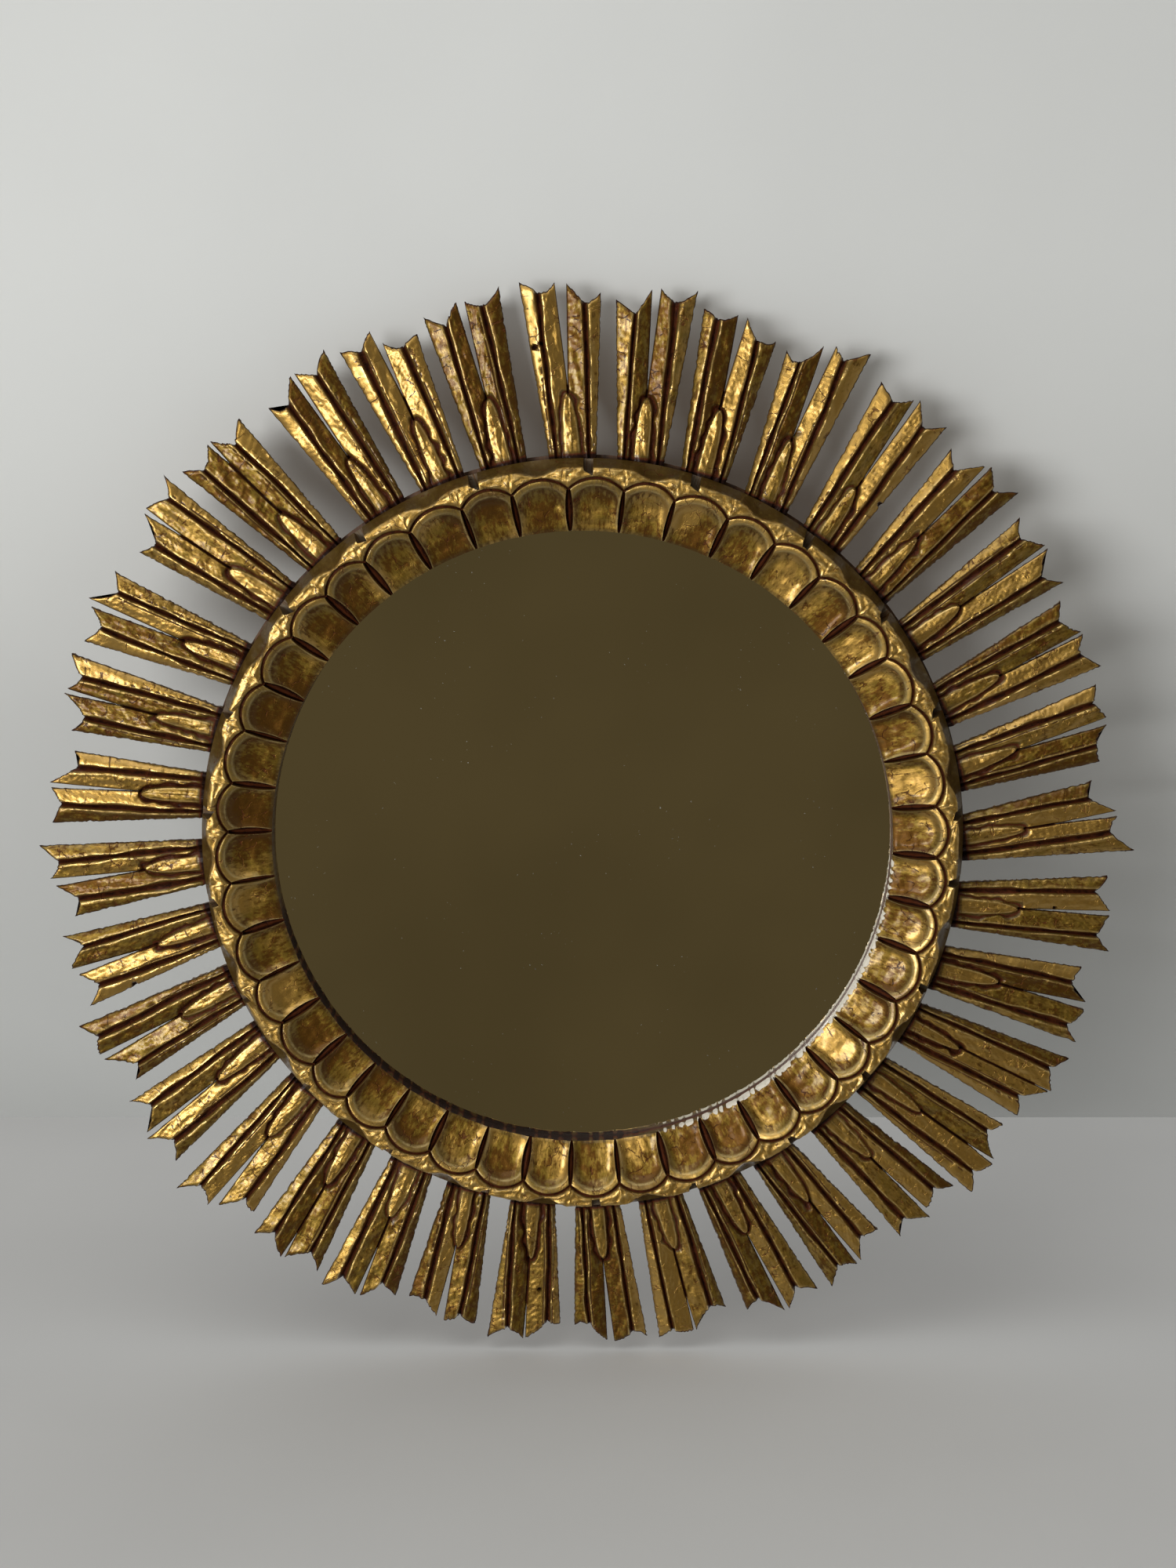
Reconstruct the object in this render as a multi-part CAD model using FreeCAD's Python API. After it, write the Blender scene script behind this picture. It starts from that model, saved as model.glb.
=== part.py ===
"""Carved giltwood sunburst wall mirror.

Millimetres. The mirror hangs in the XZ plane with +Z up and its front towards -Y. The origin
is the centre of the backing disc's wall face. A depth is a distance forward from that face,
and an angle is counted clockwise from the top as seen from the front.
"""
import FreeCAD
import Part
import math
import os

V = FreeCAD.Vector
ORIGIN = V(0, 0, 0)
FORWARD = V(0, -1, 0)

# Overrun of every cutting shape past the surface that it opens
OVERRUN = 2.0

# Thickness of the flat layers
DISC_THICK = 3.2
CARD_THICK = 0.8
GLASS_THICK = 3.0
LIP_THICK = 8.3

# Widths of the carved ring's section, outwards from its sight edge
SIGHT_R = 144.5
REBATE_WIDTH = 7.5
WALL_WIDTH = 12.0
CARVING_WIDTH = 24.5
LAND_WIDTH = 4.6
BAND_WIDTH = 3.8
DISC_EDGE = 1.2
GLASS_GAP = 1.0

# Relief of the carved ring
CROWN_RISE = 8.9
LAND_RISE = 1.1

# Scallops: one sweep of a gouge under each rounded crown
SCALLOPS = 43
SCALLOP_START_DEG = 94.0
SCALLOP_DRIFT_DEG = 2.0
SHOULDER_DROP = 5.6
SHOULDER_TAPER = 1.2
RIDGE_WIDTH = 0.1
GOUGE_R = 25.0
GOUGE_HEEL_DEPTH = 2.6
GOUGE_TOE_DEPTH = 0.4

# Notches through the outer band, one behind every other crown
BAND_SHIFT_DEG = -1.2
NOTCH_WIDTH = 4.2
NOTCH_DEPTH = 7.2

# Rays: split blades with a groove down each finger and a tongue between the fingers
RAY_LENGTH = 76.0
RAY_THICK = 8.2
RAY_TIP_THICK = 5.0
RAY_ROOT_GAP = 9.2
RAY_TIP_GAP = 7.2
TENON_GAP = 0.2
SLOT_TIP_WIDTH = 3.6
GROOVE_DEPTH = 3.0
GROOVE_WIDTH = 2.4
TONGUE_GROOVE_DEPTH = 2.6
TONGUE_GROOVE_WIDTH = 2.2
FINGER_TIP_SHARES = (0.26, 0.76)
FINGER_ROOT_SHARES = (0.20, 0.80)
TONGUE_ROOT_SHARES = (0.39, 0.61)
TONGUE_TOP_SHARE = 0.38

# Square cut brads that pin the rays to the disc
BRAD_SIZE = 1.6
BRAD_LENGTH = 8.0
FASTENER_GAP = 0.05

# Square cut nails with sunk heads that hold the disc to the ring
DISC_NAILS = 8
NAIL_SIZE = 2.0
NAIL_HEAD = 4.0
NAIL_HEAD_THICK = 1.0
NAIL_LENGTH = 13.0

# Sides of the hand-cut packing card
CARD_SIDES = 24

# Hanger: a strap with a rolled eye, one screw and a wire loop
WIRE_R = 1.25
EYE_GAP = 0.1
STRAP_THICK = 1.0
STRAP_WIDTH = 12.0
HANGER_SCREW_INSET = 1.5
EYE_ABOVE_SCREW = 19.4
LOOP_INNER_WIDTH = 15.0
LOOP_LENGTH = 14.1
LOOP_BENDS = 7
HANGER_SCREW_R = 1.5
HANGER_SCREW_LENGTH = 13.0
HANGER_HEAD_R = 3.0
HANGER_HEAD_THICK = 1.6

# Radii that follow from the widths
REBATE_R = SIGHT_R + REBATE_WIDTH
STEP_R = REBATE_R + WALL_WIDTH
NAIL_CIRCLE_R = REBATE_R + WALL_WIDTH / 2
CROWN_R = SIGHT_R + CARVING_WIDTH
SHOULDER_R = CROWN_R - SHOULDER_DROP
LAND_R = CROWN_R + LAND_WIDTH
RING_R = LAND_R + BAND_WIDTH
BRAD_CIRCLE_R = (STEP_R + RING_R) / 2
DISC_R = RING_R + DISC_EDGE
HANGER_SCREW_Z = NAIL_CIRCLE_R - HANGER_SCREW_INSET

# Depths that follow from the layers
CARD_FRONT = DISC_THICK + CARD_THICK
GLASS_FRONT = CARD_FRONT + GLASS_THICK
LIP_FRONT = GLASS_FRONT + LIP_THICK
CROWN_FRONT = LIP_FRONT + CROWN_RISE
LAND_FRONT = CROWN_FRONT + LAND_RISE
RAY_FRONT = DISC_THICK + RAY_THICK
TENON_REACH = 2 * (RING_R - STEP_R)
CARVING_SLOPE = math.atan2(CROWN_RISE, CARVING_WIDTH)
EYE_Y = WIRE_R + EYE_GAP + STRAP_THICK
EYE_Z = HANGER_SCREW_Z + EYE_ABOVE_SCREW

# Each ray: root angle and lean in degrees, then its points as shares of the ray's length:
# where the slot starts, outer point, notch and inner point of the left finger,
# inner point, notch and outer point of the right finger
RAY_SHARES = (
    (8.6, -1.0, 0.43, 0.94, 0.87, 1.02, 1.03, 0.96, 1.04),
    (18.1, -1.3, 0.52, 0.97, 0.93, 0.98, 0.98, 0.86, 0.88),
    (28.2, -1.9, 0.42, 0.89, 0.85, 0.99, 1.02, 0.96, 1.06),
    (38.1, -1.2, 0.43, 0.98, 0.92, 1.00, 1.02, 0.90, 0.98),
    (48.2, -1.2, 0.46, 0.93, 0.85, 1.00, 1.02, 0.93, 1.03),
    (58.4, -1.0, 0.48, 0.97, 0.90, 1.00, 1.00, 0.88, 0.97),
    (69.2, -2.0, 0.42, 0.93, 0.87, 0.96, 0.97, 0.90, 0.98),
    (79.2, -2.1, 0.40, 0.96, 0.91, 0.96, 0.95, 0.86, 0.85),
    (89.8, -2.6, 0.57, 0.84, 0.81, 0.96, 0.96, 0.91, 1.04),
    (100.1, -1.9, 0.44, 0.94, 0.87, 0.97, 0.97, 0.91, 0.99),
    (110.2, -1.5, 0.57, 0.89, 0.86, 0.98, 0.98, 0.91, 1.00),
    (119.7, -0.8, 0.90, 1.02, 0.94, 1.02, 1.01, 0.85, 0.91),
    (129.7, -1.0, 0.78, 0.89, 0.83, 0.98, 0.99, 0.92, 1.00),
    (139.0, -1.3, 0.50, 0.91, 0.83, 0.90, 0.95, 0.84, 0.91),
    (149.4, -2.2, 0.50, 0.82, 0.79, 0.92, 0.92, 0.86, 0.95),
    (158.6, -1.7, 0.41, 0.96, 0.88, 0.99, 0.99, 0.84, 0.88),
    (168.0, -0.7, 0.70, 0.84, 0.81, 0.94, 0.94, 0.90, 0.94),
    (177.7, -0.9, 0.40, 0.93, 0.89, 0.94, 0.93, 0.81, 0.81),
    (187.7, -1.2, 0.69, 0.82, 0.81, 0.93, 0.94, 0.87, 0.95),
    (197.8, -1.6, 0.40, 0.90, 0.86, 0.92, 0.90, 0.81, 0.81),
    (207.3, -1.5, 0.60, 0.87, 0.82, 0.95, 0.96, 0.88, 0.98),
    (217.2, -2.1, 0.78, 0.95, 0.86, 0.97, 0.98, 0.86, 0.93),
    (227.4, -2.7, 0.43, 0.87, 0.83, 0.97, 1.01, 0.94, 1.05),
    (237.2, -2.0, 0.42, 0.98, 0.90, 1.02, 1.00, 0.86, 0.95),
    (246.9, -1.8, 0.45, 0.88, 0.81, 0.98, 0.99, 0.94, 1.01),
    (256.8, -1.9, 0.50, 0.93, 0.83, 0.92, 0.96, 0.83, 0.93),
    (266.6, -1.5, 0.41, 0.86, 0.82, 0.94, 0.97, 0.90, 1.00),
    (276.8, -1.0, 0.40, 0.94, 0.89, 0.95, 0.96, 0.80, 0.82),
    (287.0, -0.8, 0.59, 0.87, 0.81, 0.96, 0.95, 0.88, 0.97),
    (297.6, -1.6, 0.41, 0.95, 0.88, 0.98, 1.01, 0.86, 0.92),
    (308.8, -1.5, 0.72, 0.89, 0.83, 0.98, 0.99, 0.91, 1.01),
    (318.4, -1.3, 0.79, 0.97, 0.88, 0.97, 0.97, 0.85, 0.94),
    (329.5, -1.1, 0.40, 0.90, 0.85, 0.99, 0.98, 0.90, 1.00),
    (339.0, -1.0, 0.56, 0.96, 0.91, 1.00, 0.91, 0.84, 0.87),
    (348.4, -1.0, 0.44, 0.97, 0.89, 1.01, 1.00, 0.95, 1.03),
    (358.6, -0.8, 0.43, 1.06, 0.99, 1.04, 1.03, 0.91, 0.96),
)

# Widths that follow from how many scallops and rays share the circle
SHOULDER_WIDTH = 2 * math.pi * SHOULDER_R / SCALLOPS - RIDGE_WIDTH
RAY_ROOT_WIDTH = 2 * math.pi * RING_R / len(RAY_SHARES) - RAY_ROOT_GAP
RAY_TIP_WIDTH = 2 * math.pi * (RING_R + RAY_LENGTH) / len(RAY_SHARES) - RAY_TIP_GAP


def save(shape, name):
    """Writes one node's STEP file."""
    shape.exportStep(os.path.join("parts", name + ".step"))


def radial(angle_deg, radius, depth):
    """The point at a clockwise angle, a radius and a depth."""
    angle = math.radians(angle_deg)
    return V(radius * math.sin(angle), -depth, radius * math.cos(angle))


def turned(shape, angle_deg):
    """A copy of a shape made at the top, turned clockwise about the mirror's axis."""
    copy = shape.copy()
    copy.rotate(ORIGIN, V(0, 1, 0), angle_deg)
    return copy


def prism(points, sweep):
    """A closed outline of points swept along a vector."""
    return Part.Face(Part.makePolygon(points + points[:1])).extrude(sweep)


def peg(radius, foot, length, at):
    """A round peg along the mirror's axis, from one depth forward by its length."""
    return Part.makeCylinder(radius, length, at + FORWARD * foot, FORWARD)


def turned_section(points):
    """A ring whose section is given as pairs of radius and depth."""
    corners = [V(0, -depth, radius) for radius, depth in points]
    face = Part.Face(Part.makePolygon(corners + corners[:1]))
    return face.revolve(ORIGIN, V(0, 1, 0), 360)


def scallop_angle(index):
    """Where the chisel set out one scallop: an even pitch that drifts round the ring."""
    nominal = SCALLOP_START_DEG + 360 * index / SCALLOPS
    return nominal + SCALLOP_DRIFT_DEG * math.sin(math.radians(nominal))


def notch_angle(index):
    """Where the outer band is notched behind one scallop."""
    return scallop_angle(index) + BAND_SHIFT_DEG


def slope_depth(radius):
    """Depth of the scallops' chiselled slope at a radius."""
    return LIP_FRONT + (radius - SIGHT_R) * math.tan(CARVING_SLOPE)


def slope_point(radius, lift):
    """A point at the top of the ring, lifted square off the chiselled slope."""
    foot = V(0, -slope_depth(radius), radius)
    return foot + V(0, -math.cos(CARVING_SLOPE), -math.sin(CARVING_SLOPE)) * lift


def crown_prism():
    """The outline of one scallop, straight sides under a rounded crown, right through the land."""
    shoulder = SHOULDER_WIDTH / 2
    foot = shoulder - SHOULDER_TAPER / 2
    foot_z = SIGHT_R - OVERRUN
    left_foot = V(-foot, -GLASS_FRONT, foot_z)
    right_foot = V(foot, -GLASS_FRONT, foot_z)
    left = V(-shoulder, -GLASS_FRONT, SHOULDER_R)
    right = V(shoulder, -GLASS_FRONT, SHOULDER_R)
    edges = [
        Part.LineSegment(left_foot, left),
        Part.Arc(left, V(0, -GLASS_FRONT, CROWN_R), right),
        Part.LineSegment(right, right_foot),
        Part.LineSegment(right_foot, left_foot)]
    outline = Part.Face(Part.Wire([edge.toShape() for edge in edges]))
    return outline.extrude(FORWARD * (LAND_FRONT + OVERRUN - GLASS_FRONT))


def gouge_sweep():
    """The gouge's path down the slope, deepest under the crown."""
    heel = slope_point(CROWN_R + OVERRUN, GOUGE_R - GOUGE_HEEL_DEPTH)
    toe = slope_point(SIGHT_R - OVERRUN, GOUGE_R - GOUGE_TOE_DEPTH)
    down = toe - heel
    lift = V(1, 0, 0).cross(down).normalize() * GOUGE_R
    corners = [heel, heel + lift, toe + lift, toe]
    return Part.Face(Part.makePolygon(corners + corners[:1])).revolve(heel, down, 360)


def scallop_cutter():
    """What the carver takes out for one scallop."""
    return crown_prism().common(gouge_sweep())


def notch_cutter():
    """A square cut through the outer band, down to the rays."""
    corner = V(-NOTCH_WIDTH / 2, -LAND_FRONT - OVERRUN, RING_R - NOTCH_DEPTH)
    height = LAND_FRONT - RAY_FRONT + 2 * OVERRUN
    return Part.makeBox(NOTCH_WIDTH, height, NOTCH_DEPTH + OVERRUN, corner)


def ring_blank():
    """The turned ring before carving: rebate, lip, land, band and the step for the rays."""
    return turned_section([
        (REBATE_R, DISC_THICK), (REBATE_R, GLASS_FRONT), (SIGHT_R, GLASS_FRONT),
        (SIGHT_R, LAND_FRONT), (LAND_R, LAND_FRONT),
        (RING_R, RAY_FRONT), (STEP_R, RAY_FRONT), (STEP_R, DISC_THICK)])


def square_peg(angle_deg, radius, size, foot, length):
    """A square peg along the mirror's axis, from one depth forward by its length."""
    corner = V(-size / 2, -foot - length, radius - size / 2)
    return turned(Part.makeBox(size, length, size, corner), angle_deg)


def nail_angles():
    """Angles of the nails round the disc, clear of the hanger at the top."""
    pitch = 360 / DISC_NAILS
    return [pitch * (index + 0.5) for index in range(DISC_NAILS)]


def fastener_holes():
    """Holes for the disc's nails and the hanger's screw, right through the disc."""
    size = NAIL_SIZE + 2 * FASTENER_GAP
    length = NAIL_LENGTH + FASTENER_GAP
    holes = [square_peg(angle, NAIL_CIRCLE_R, size, 0, length) for angle in nail_angles()]
    holes.append(peg(HANGER_SCREW_R + FASTENER_GAP, 0, HANGER_SCREW_LENGTH + FASTENER_GAP,
                     V(0, 0, HANGER_SCREW_Z)))
    return holes


def carved_ring():
    """The turned blank with its band notched and its scallops carved."""
    notch = notch_cutter()
    cuts = [turned(notch, notch_angle(index)) for index in range(0, SCALLOPS, 2)]
    ring = ring_blank().cut(fastener_holes() + cuts)
    scallop = scallop_cutter()
    return ring.cut([turned(scallop, scallop_angle(index)) for index in range(SCALLOPS)])


class Blade:
    """Places the points of one ray by its share across and along the blade."""

    def __init__(self, root_deg, lean_deg):
        self.root = radial(root_deg, RING_R, 0)
        self.tip = radial(root_deg + lean_deg, RING_R + RAY_LENGTH, 0)
        self.along = (self.tip - self.root).normalize()
        self.across = V(self.along.z, 0, -self.along.x)

    def at(self, side_share, length_share, depth=0):
        """The point at shares of the width and of the visible length."""
        side = side_share - 0.5
        foot = self.root + self.across * (side * RAY_ROOT_WIDTH)
        head = self.tip + self.across * (side * RAY_TIP_WIDTH)
        return foot + (head - foot) * length_share + FORWARD * depth

    def front(self, side_share, length_share):
        """The point on the sloping front face, carried on in line over the tenon."""
        depth = RAY_FRONT - (RAY_THICK - RAY_TIP_THICK) * length_share
        return self.at(side_share, length_share, depth)


def vee(blade, start, end, outline):
    """A cutter with the given section that runs along the front face between two points."""
    corners = [start + blade.across * side + FORWARD * lift for side, lift in outline]
    return prism(corners, end - start)


def vee_outline(width, depth):
    """Section of a plain V groove, drawn past the front face."""
    wide = width / 2 * (depth + OVERRUN) / depth
    return [(-wide, OVERRUN), (0, -depth), (wide, OVERRUN)]


def ray_plan(blade, tenon_share, slot_share, tips):
    """Outline of a ray: tenon, two fingers with notched tips and the slot between them."""
    left_out, left_notch, left_in, right_in, right_notch, right_out = tips
    slot_half_share = SLOT_TIP_WIDTH / RAY_TIP_WIDTH / 2
    left, right = FINGER_TIP_SHARES
    places = [(0, tenon_share), (0, left_out), (left, left_notch), (0.5 - slot_half_share, left_in),
              (0.5, slot_share), (0.5 + slot_half_share, right_in), (right, right_notch),
              (1, right_out), (1, tenon_share)]
    return [blade.at(side, length, DISC_THICK) for side, length in places]


def ray_cuts(blade, tenon_share, tips):
    """Everything that is carved out of a ray's front."""
    left_out, left_notch, left_in, right_in, right_notch, right_out = tips
    longest_share = max(tips) + OVERRUN / RAY_LENGTH
    lift = FORWARD * (2 * RAY_THICK)
    wide = blade.across * RAY_TIP_WIDTH
    slope = prism([blade.front(0.5, 0) - wide, blade.front(0.5, longest_share) - wide,
                   blade.front(0.5, longest_share) - wide + lift, blade.front(0.5, 0) - wide + lift],
                  wide * 2)
    cuts = [slope]
    groove = vee_outline(GROOVE_WIDTH, GROOVE_DEPTH)
    tongue = vee_outline(TONGUE_GROOVE_WIDTH, TONGUE_GROOVE_DEPTH)
    for root, tip in zip(FINGER_ROOT_SHARES, FINGER_TIP_SHARES):
        cuts.append(vee(blade, blade.front(root, tenon_share * 2), blade.front(tip, longest_share),
                        groove))
    for root in TONGUE_ROOT_SHARES:
        cuts.append(vee(blade, blade.front(root, tenon_share * 2), blade.front(0.5, TONGUE_TOP_SHARE),
                        tongue))
    cuts.append(vee(blade, blade.front(0.5, TONGUE_TOP_SHARE), blade.front(0.5, longest_share),
                    tongue))
    return cuts


def ray(root_deg, lean_deg, slot_share, tips):
    """One ray, its tenon sawn off square to the step, with the hole for its brad."""
    blade = Blade(root_deg, lean_deg)
    tenon_share = -TENON_REACH / RAY_LENGTH
    plan = ray_plan(blade, tenon_share, slot_share, tips)
    hole = square_peg(root_deg, BRAD_CIRCLE_R, BRAD_SIZE + 2 * FASTENER_GAP, 0,
                      BRAD_LENGTH + FASTENER_GAP)
    end = square_peg(root_deg, STEP_R + TENON_GAP - RAY_TIP_WIDTH / 2, RAY_TIP_WIDTH, 0,
                     RAY_FRONT + OVERRUN)
    blank = prism(plan, FORWARD * RAY_THICK)
    return blank.cut(ray_cuts(blade, tenon_share, tips) + [hole, end])


def brad(root_deg):
    """One headless square brad, driven flush from the wall side."""
    return square_peg(root_deg, BRAD_CIRCLE_R, BRAD_SIZE, 0, BRAD_LENGTH)


def nail(angle_deg):
    """One square nail with its head sunk flush in the wall face."""
    head = square_peg(angle_deg, NAIL_CIRCLE_R, NAIL_HEAD, 0, NAIL_HEAD_THICK)
    return head.fuse(square_peg(angle_deg, NAIL_CIRCLE_R, NAIL_SIZE, 0, NAIL_LENGTH))


def packing_card():
    """The card behind the glass, cut by hand with straight sides."""
    corners = [radial(360 * index / CARD_SIDES, REBATE_R - GLASS_GAP, DISC_THICK)
               for index in range(CARD_SIDES)]
    return prism(corners, FORWARD * CARD_THICK)


def backing_disc():
    """The disc that carries the ring, the rays and the hanger."""
    disc = peg(DISC_R, 0, DISC_THICK, ORIGIN)
    holes = fastener_holes()
    for angle in nail_angles():
        holes.append(square_peg(angle, NAIL_CIRCLE_R, NAIL_HEAD + 2 * FASTENER_GAP, 0,
                                NAIL_HEAD_THICK))
    for row in RAY_SHARES:
        holes.append(square_peg(row[0], BRAD_CIRCLE_R, BRAD_SIZE + 2 * FASTENER_GAP, 0,
                                DISC_THICK))
    return disc.cut(holes)


def hanger_strap():
    """The strap with its rounded foot, screw hole and rolled eye."""
    corner = V(-STRAP_WIDTH / 2, 0, HANGER_SCREW_Z)
    plate = Part.makeBox(STRAP_WIDTH, STRAP_THICK, EYE_ABOVE_SCREW, corner)
    foot = Part.makeCylinder(STRAP_WIDTH / 2, STRAP_THICK, V(0, 0, HANGER_SCREW_Z), V(0, 1, 0))
    eye = Part.makeCylinder(EYE_Y, STRAP_WIDTH, V(-STRAP_WIDTH / 2, EYE_Y, EYE_Z), V(1, 0, 0))
    bore = Part.makeCylinder(EYE_Y - STRAP_THICK, STRAP_WIDTH + 2 * OVERRUN,
                             V(-STRAP_WIDTH / 2 - OVERRUN, EYE_Y, EYE_Z), V(1, 0, 0))
    hole = Part.makeCylinder(HANGER_SCREW_R + FASTENER_GAP, STRAP_THICK + 2 * OVERRUN,
                             V(0, -OVERRUN, HANGER_SCREW_Z), V(0, 1, 0))
    return plate.fuse([foot, eye]).removeSplitter().cut([bore, hole])


def hanger_loop():
    """The wire loop, mitred at its bends, through the eye and hanging down over the strap."""
    half = LOOP_INNER_WIDTH / 2 + WIRE_R
    shoulder = EYE_Z - LOOP_LENGTH + half
    corners = [V(0, EYE_Y, EYE_Z), V(half, EYE_Y, EYE_Z)]
    for index in range(LOOP_BENDS):
        turn = math.pi * index / (LOOP_BENDS - 1)
        corners.append(V(half * math.cos(turn), EYE_Y, shoulder - half * math.sin(turn)))
    corners.append(V(-half, EYE_Y, EYE_Z))
    path = Part.Wire(Part.makePolygon(corners + corners[:1]))
    section = Part.Wire([Part.makeCircle(WIRE_R, corners[0], V(1, 0, 0))])
    return path.makePipeShell([section], True, False, 1)


def hanger_screw():
    """The round-headed screw that holds the strap to the disc and the ring."""
    head = Part.makeCylinder(HANGER_HEAD_R, HANGER_HEAD_THICK, V(0, STRAP_THICK, HANGER_SCREW_Z),
                             V(0, 1, 0))
    shank = Part.makeCylinder(HANGER_SCREW_R, HANGER_SCREW_LENGTH + STRAP_THICK,
                              V(0, STRAP_THICK, HANGER_SCREW_Z), FORWARD)
    return head.fuse(shank).removeSplitter()


def main():
    """Builds every piece and writes it."""
    os.makedirs("parts", exist_ok=True)
    save(carved_ring(), "carved_ring")
    for index, row in enumerate(RAY_SHARES):
        save(ray(row[0], row[1], row[2], row[3:]), "ray_%02d" % (index + 1))
    save(peg(REBATE_R - GLASS_GAP, CARD_FRONT, GLASS_THICK, ORIGIN), "mirror_glass")
    save(packing_card(), "packing_card")
    save(backing_disc(), "backing_disc")
    save(Part.Compound([brad(row[0]) for row in RAY_SHARES]), "ray_brads")
    save(Part.Compound([nail(angle) for angle in nail_angles()]), "backing_nails")
    save(hanger_strap(), "hanger_strap")
    save(hanger_loop(), "hanger_loop")
    save(hanger_screw(), "hanger_screw")


main()
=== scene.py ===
"""Carved giltwood sunburst mirror: the looks.

Metres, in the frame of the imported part: the mirror hangs in the XZ plane with +Z up and its front
towards -Y. Carving is worked out in millimetres and written to the meshes in metres. A depth is a
distance forward from the wall face of the backing disc, and an angle is counted clockwise from the
top as seen from the front.
"""

import logging
import math
from dataclasses import dataclass, field
from enum import Enum, IntEnum
from typing import Iterable, Sequence

import bpy
import numpy as np
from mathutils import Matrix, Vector


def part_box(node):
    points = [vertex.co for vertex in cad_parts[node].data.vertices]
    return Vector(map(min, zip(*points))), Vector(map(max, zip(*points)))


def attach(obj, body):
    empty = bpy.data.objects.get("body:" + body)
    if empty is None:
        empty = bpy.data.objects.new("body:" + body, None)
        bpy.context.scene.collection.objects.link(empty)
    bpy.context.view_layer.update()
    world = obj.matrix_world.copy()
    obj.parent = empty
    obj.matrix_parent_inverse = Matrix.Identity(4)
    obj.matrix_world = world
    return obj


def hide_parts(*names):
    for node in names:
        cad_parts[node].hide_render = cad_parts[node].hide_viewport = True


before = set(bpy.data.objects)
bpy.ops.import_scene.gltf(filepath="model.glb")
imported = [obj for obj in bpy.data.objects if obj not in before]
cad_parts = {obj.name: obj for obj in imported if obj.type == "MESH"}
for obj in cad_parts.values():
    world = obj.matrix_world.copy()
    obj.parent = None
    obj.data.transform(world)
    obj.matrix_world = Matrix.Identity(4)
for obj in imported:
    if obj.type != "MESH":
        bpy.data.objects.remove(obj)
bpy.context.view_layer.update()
LOG = logging.getLogger("sunburst mirror")
MM = 0.001
MM_PER_CM = 10
SEED = 41
# Point attributes of the finish: the first, the glaze, also carries painted shade at the rays'
# roots, and the fourth, pale, carries painted highlights.
FINISH = ("glaze", "worn", "tone", "pale", "gesso", "bare")

Array = np.ndarray
Colour = tuple[float, float, float, float]


class Body(Enum):
    """The two bodies that the pieces ride on."""

    MIRROR = "mirror"
    LOOP = "hanging_loop"


class Slot(Enum):
    """The record's material slots."""

    RING = "ring_gilding"
    RAY = "ray_gilding"
    GLASS = "silvered_glass"
    CARD = "card"
    DISC = "disc_wood"
    BRADS = "iron_brads"
    NAILS = "iron_nails"
    STRAP = "hanger_brass"
    LOOP = "hanger_wire"
    SCREW = "hanger_screw_steel"


def paint(red: int, green: int, blue: int) -> Colour:
    """A colour as it looks on a screen, 0 to 255 a channel, as linear light with full alpha.

    Args:
        red: red channel, 0 to 255.
        green: green channel, 0 to 255.
        blue: blue channel, 0 to 255.

    Returns:
        Linear red, green, blue and alpha.
    """
    def linear(channel: int) -> float:
        """One channel through the inverse of the screen's curve."""
        share = channel / 255
        return share / 12.92 if share <= 0.04045 else ((share + 0.055) / 1.055) ** 2.4

    return linear(red), linear(green), linear(blue), 1.0


def smooth(values: Array | float, low: float, high: float) -> Array:
    """Rises from 0 at low to 1 at high along the curve 3t squared minus 2t cubed."""
    share = np.clip((values - low) / (high - low), 0, 1)
    return share * share * (3 - 2 * share)


def close(distance: Array, width: float | Array) -> Array:
    """1 at no distance, falling evenly to 0 at the width."""
    return np.clip(1 - distance / width, 0, 1)


def bell(distance: Array, width: float) -> Array:
    """1 at no distance, falling on both sides as e to minus (distance over width) squared."""
    return np.exp(-(distance / width) ** 2)


def looped(grid: Array, axis: int) -> Array:
    """The grid with its first row or column once more at the end."""
    return np.concatenate([grid, grid.take([0], axis)], axis=axis)


def ripple(rng: np.random.Generator, first: Array, second: Array, length: float,
           waves: int = 12) -> Array:
    """Gentle unevenness over two coordinates, about -1 to 1.

    The sum of sine waves with random directions and phases, each as long as the given length
    give or take a half, divided by the root of half their number.

    Args:
        rng: source of the directions and phases.
        first: first coordinate.
        second: second coordinate, of the same shape.
        length: mean wave length, in the coordinates' unit.
        waves: how many waves are added.

    Returns:
        The unevenness, of the coordinates' shape.
    """
    total = np.zeros(np.broadcast(first, second).shape)
    for _ in range(waves):
        turn = rng.uniform(0, 2 * math.pi)
        pace = 2 * math.pi / (length * rng.uniform(0.6, 1.5))
        phase = rng.uniform(0, 2 * math.pi)
        total += np.sin(pace * (first * math.cos(turn) + second * math.sin(turn)) + phase)
    return total / math.sqrt(waves / 2)


def placed(name: str, data: bpy.types.ID) -> bpy.types.Object:
    """Makes an object of a mesh, lamp or camera and links it to the scene."""
    made = bpy.data.objects.new(name, data)
    bpy.context.scene.collection.objects.link(made)
    return made


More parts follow.
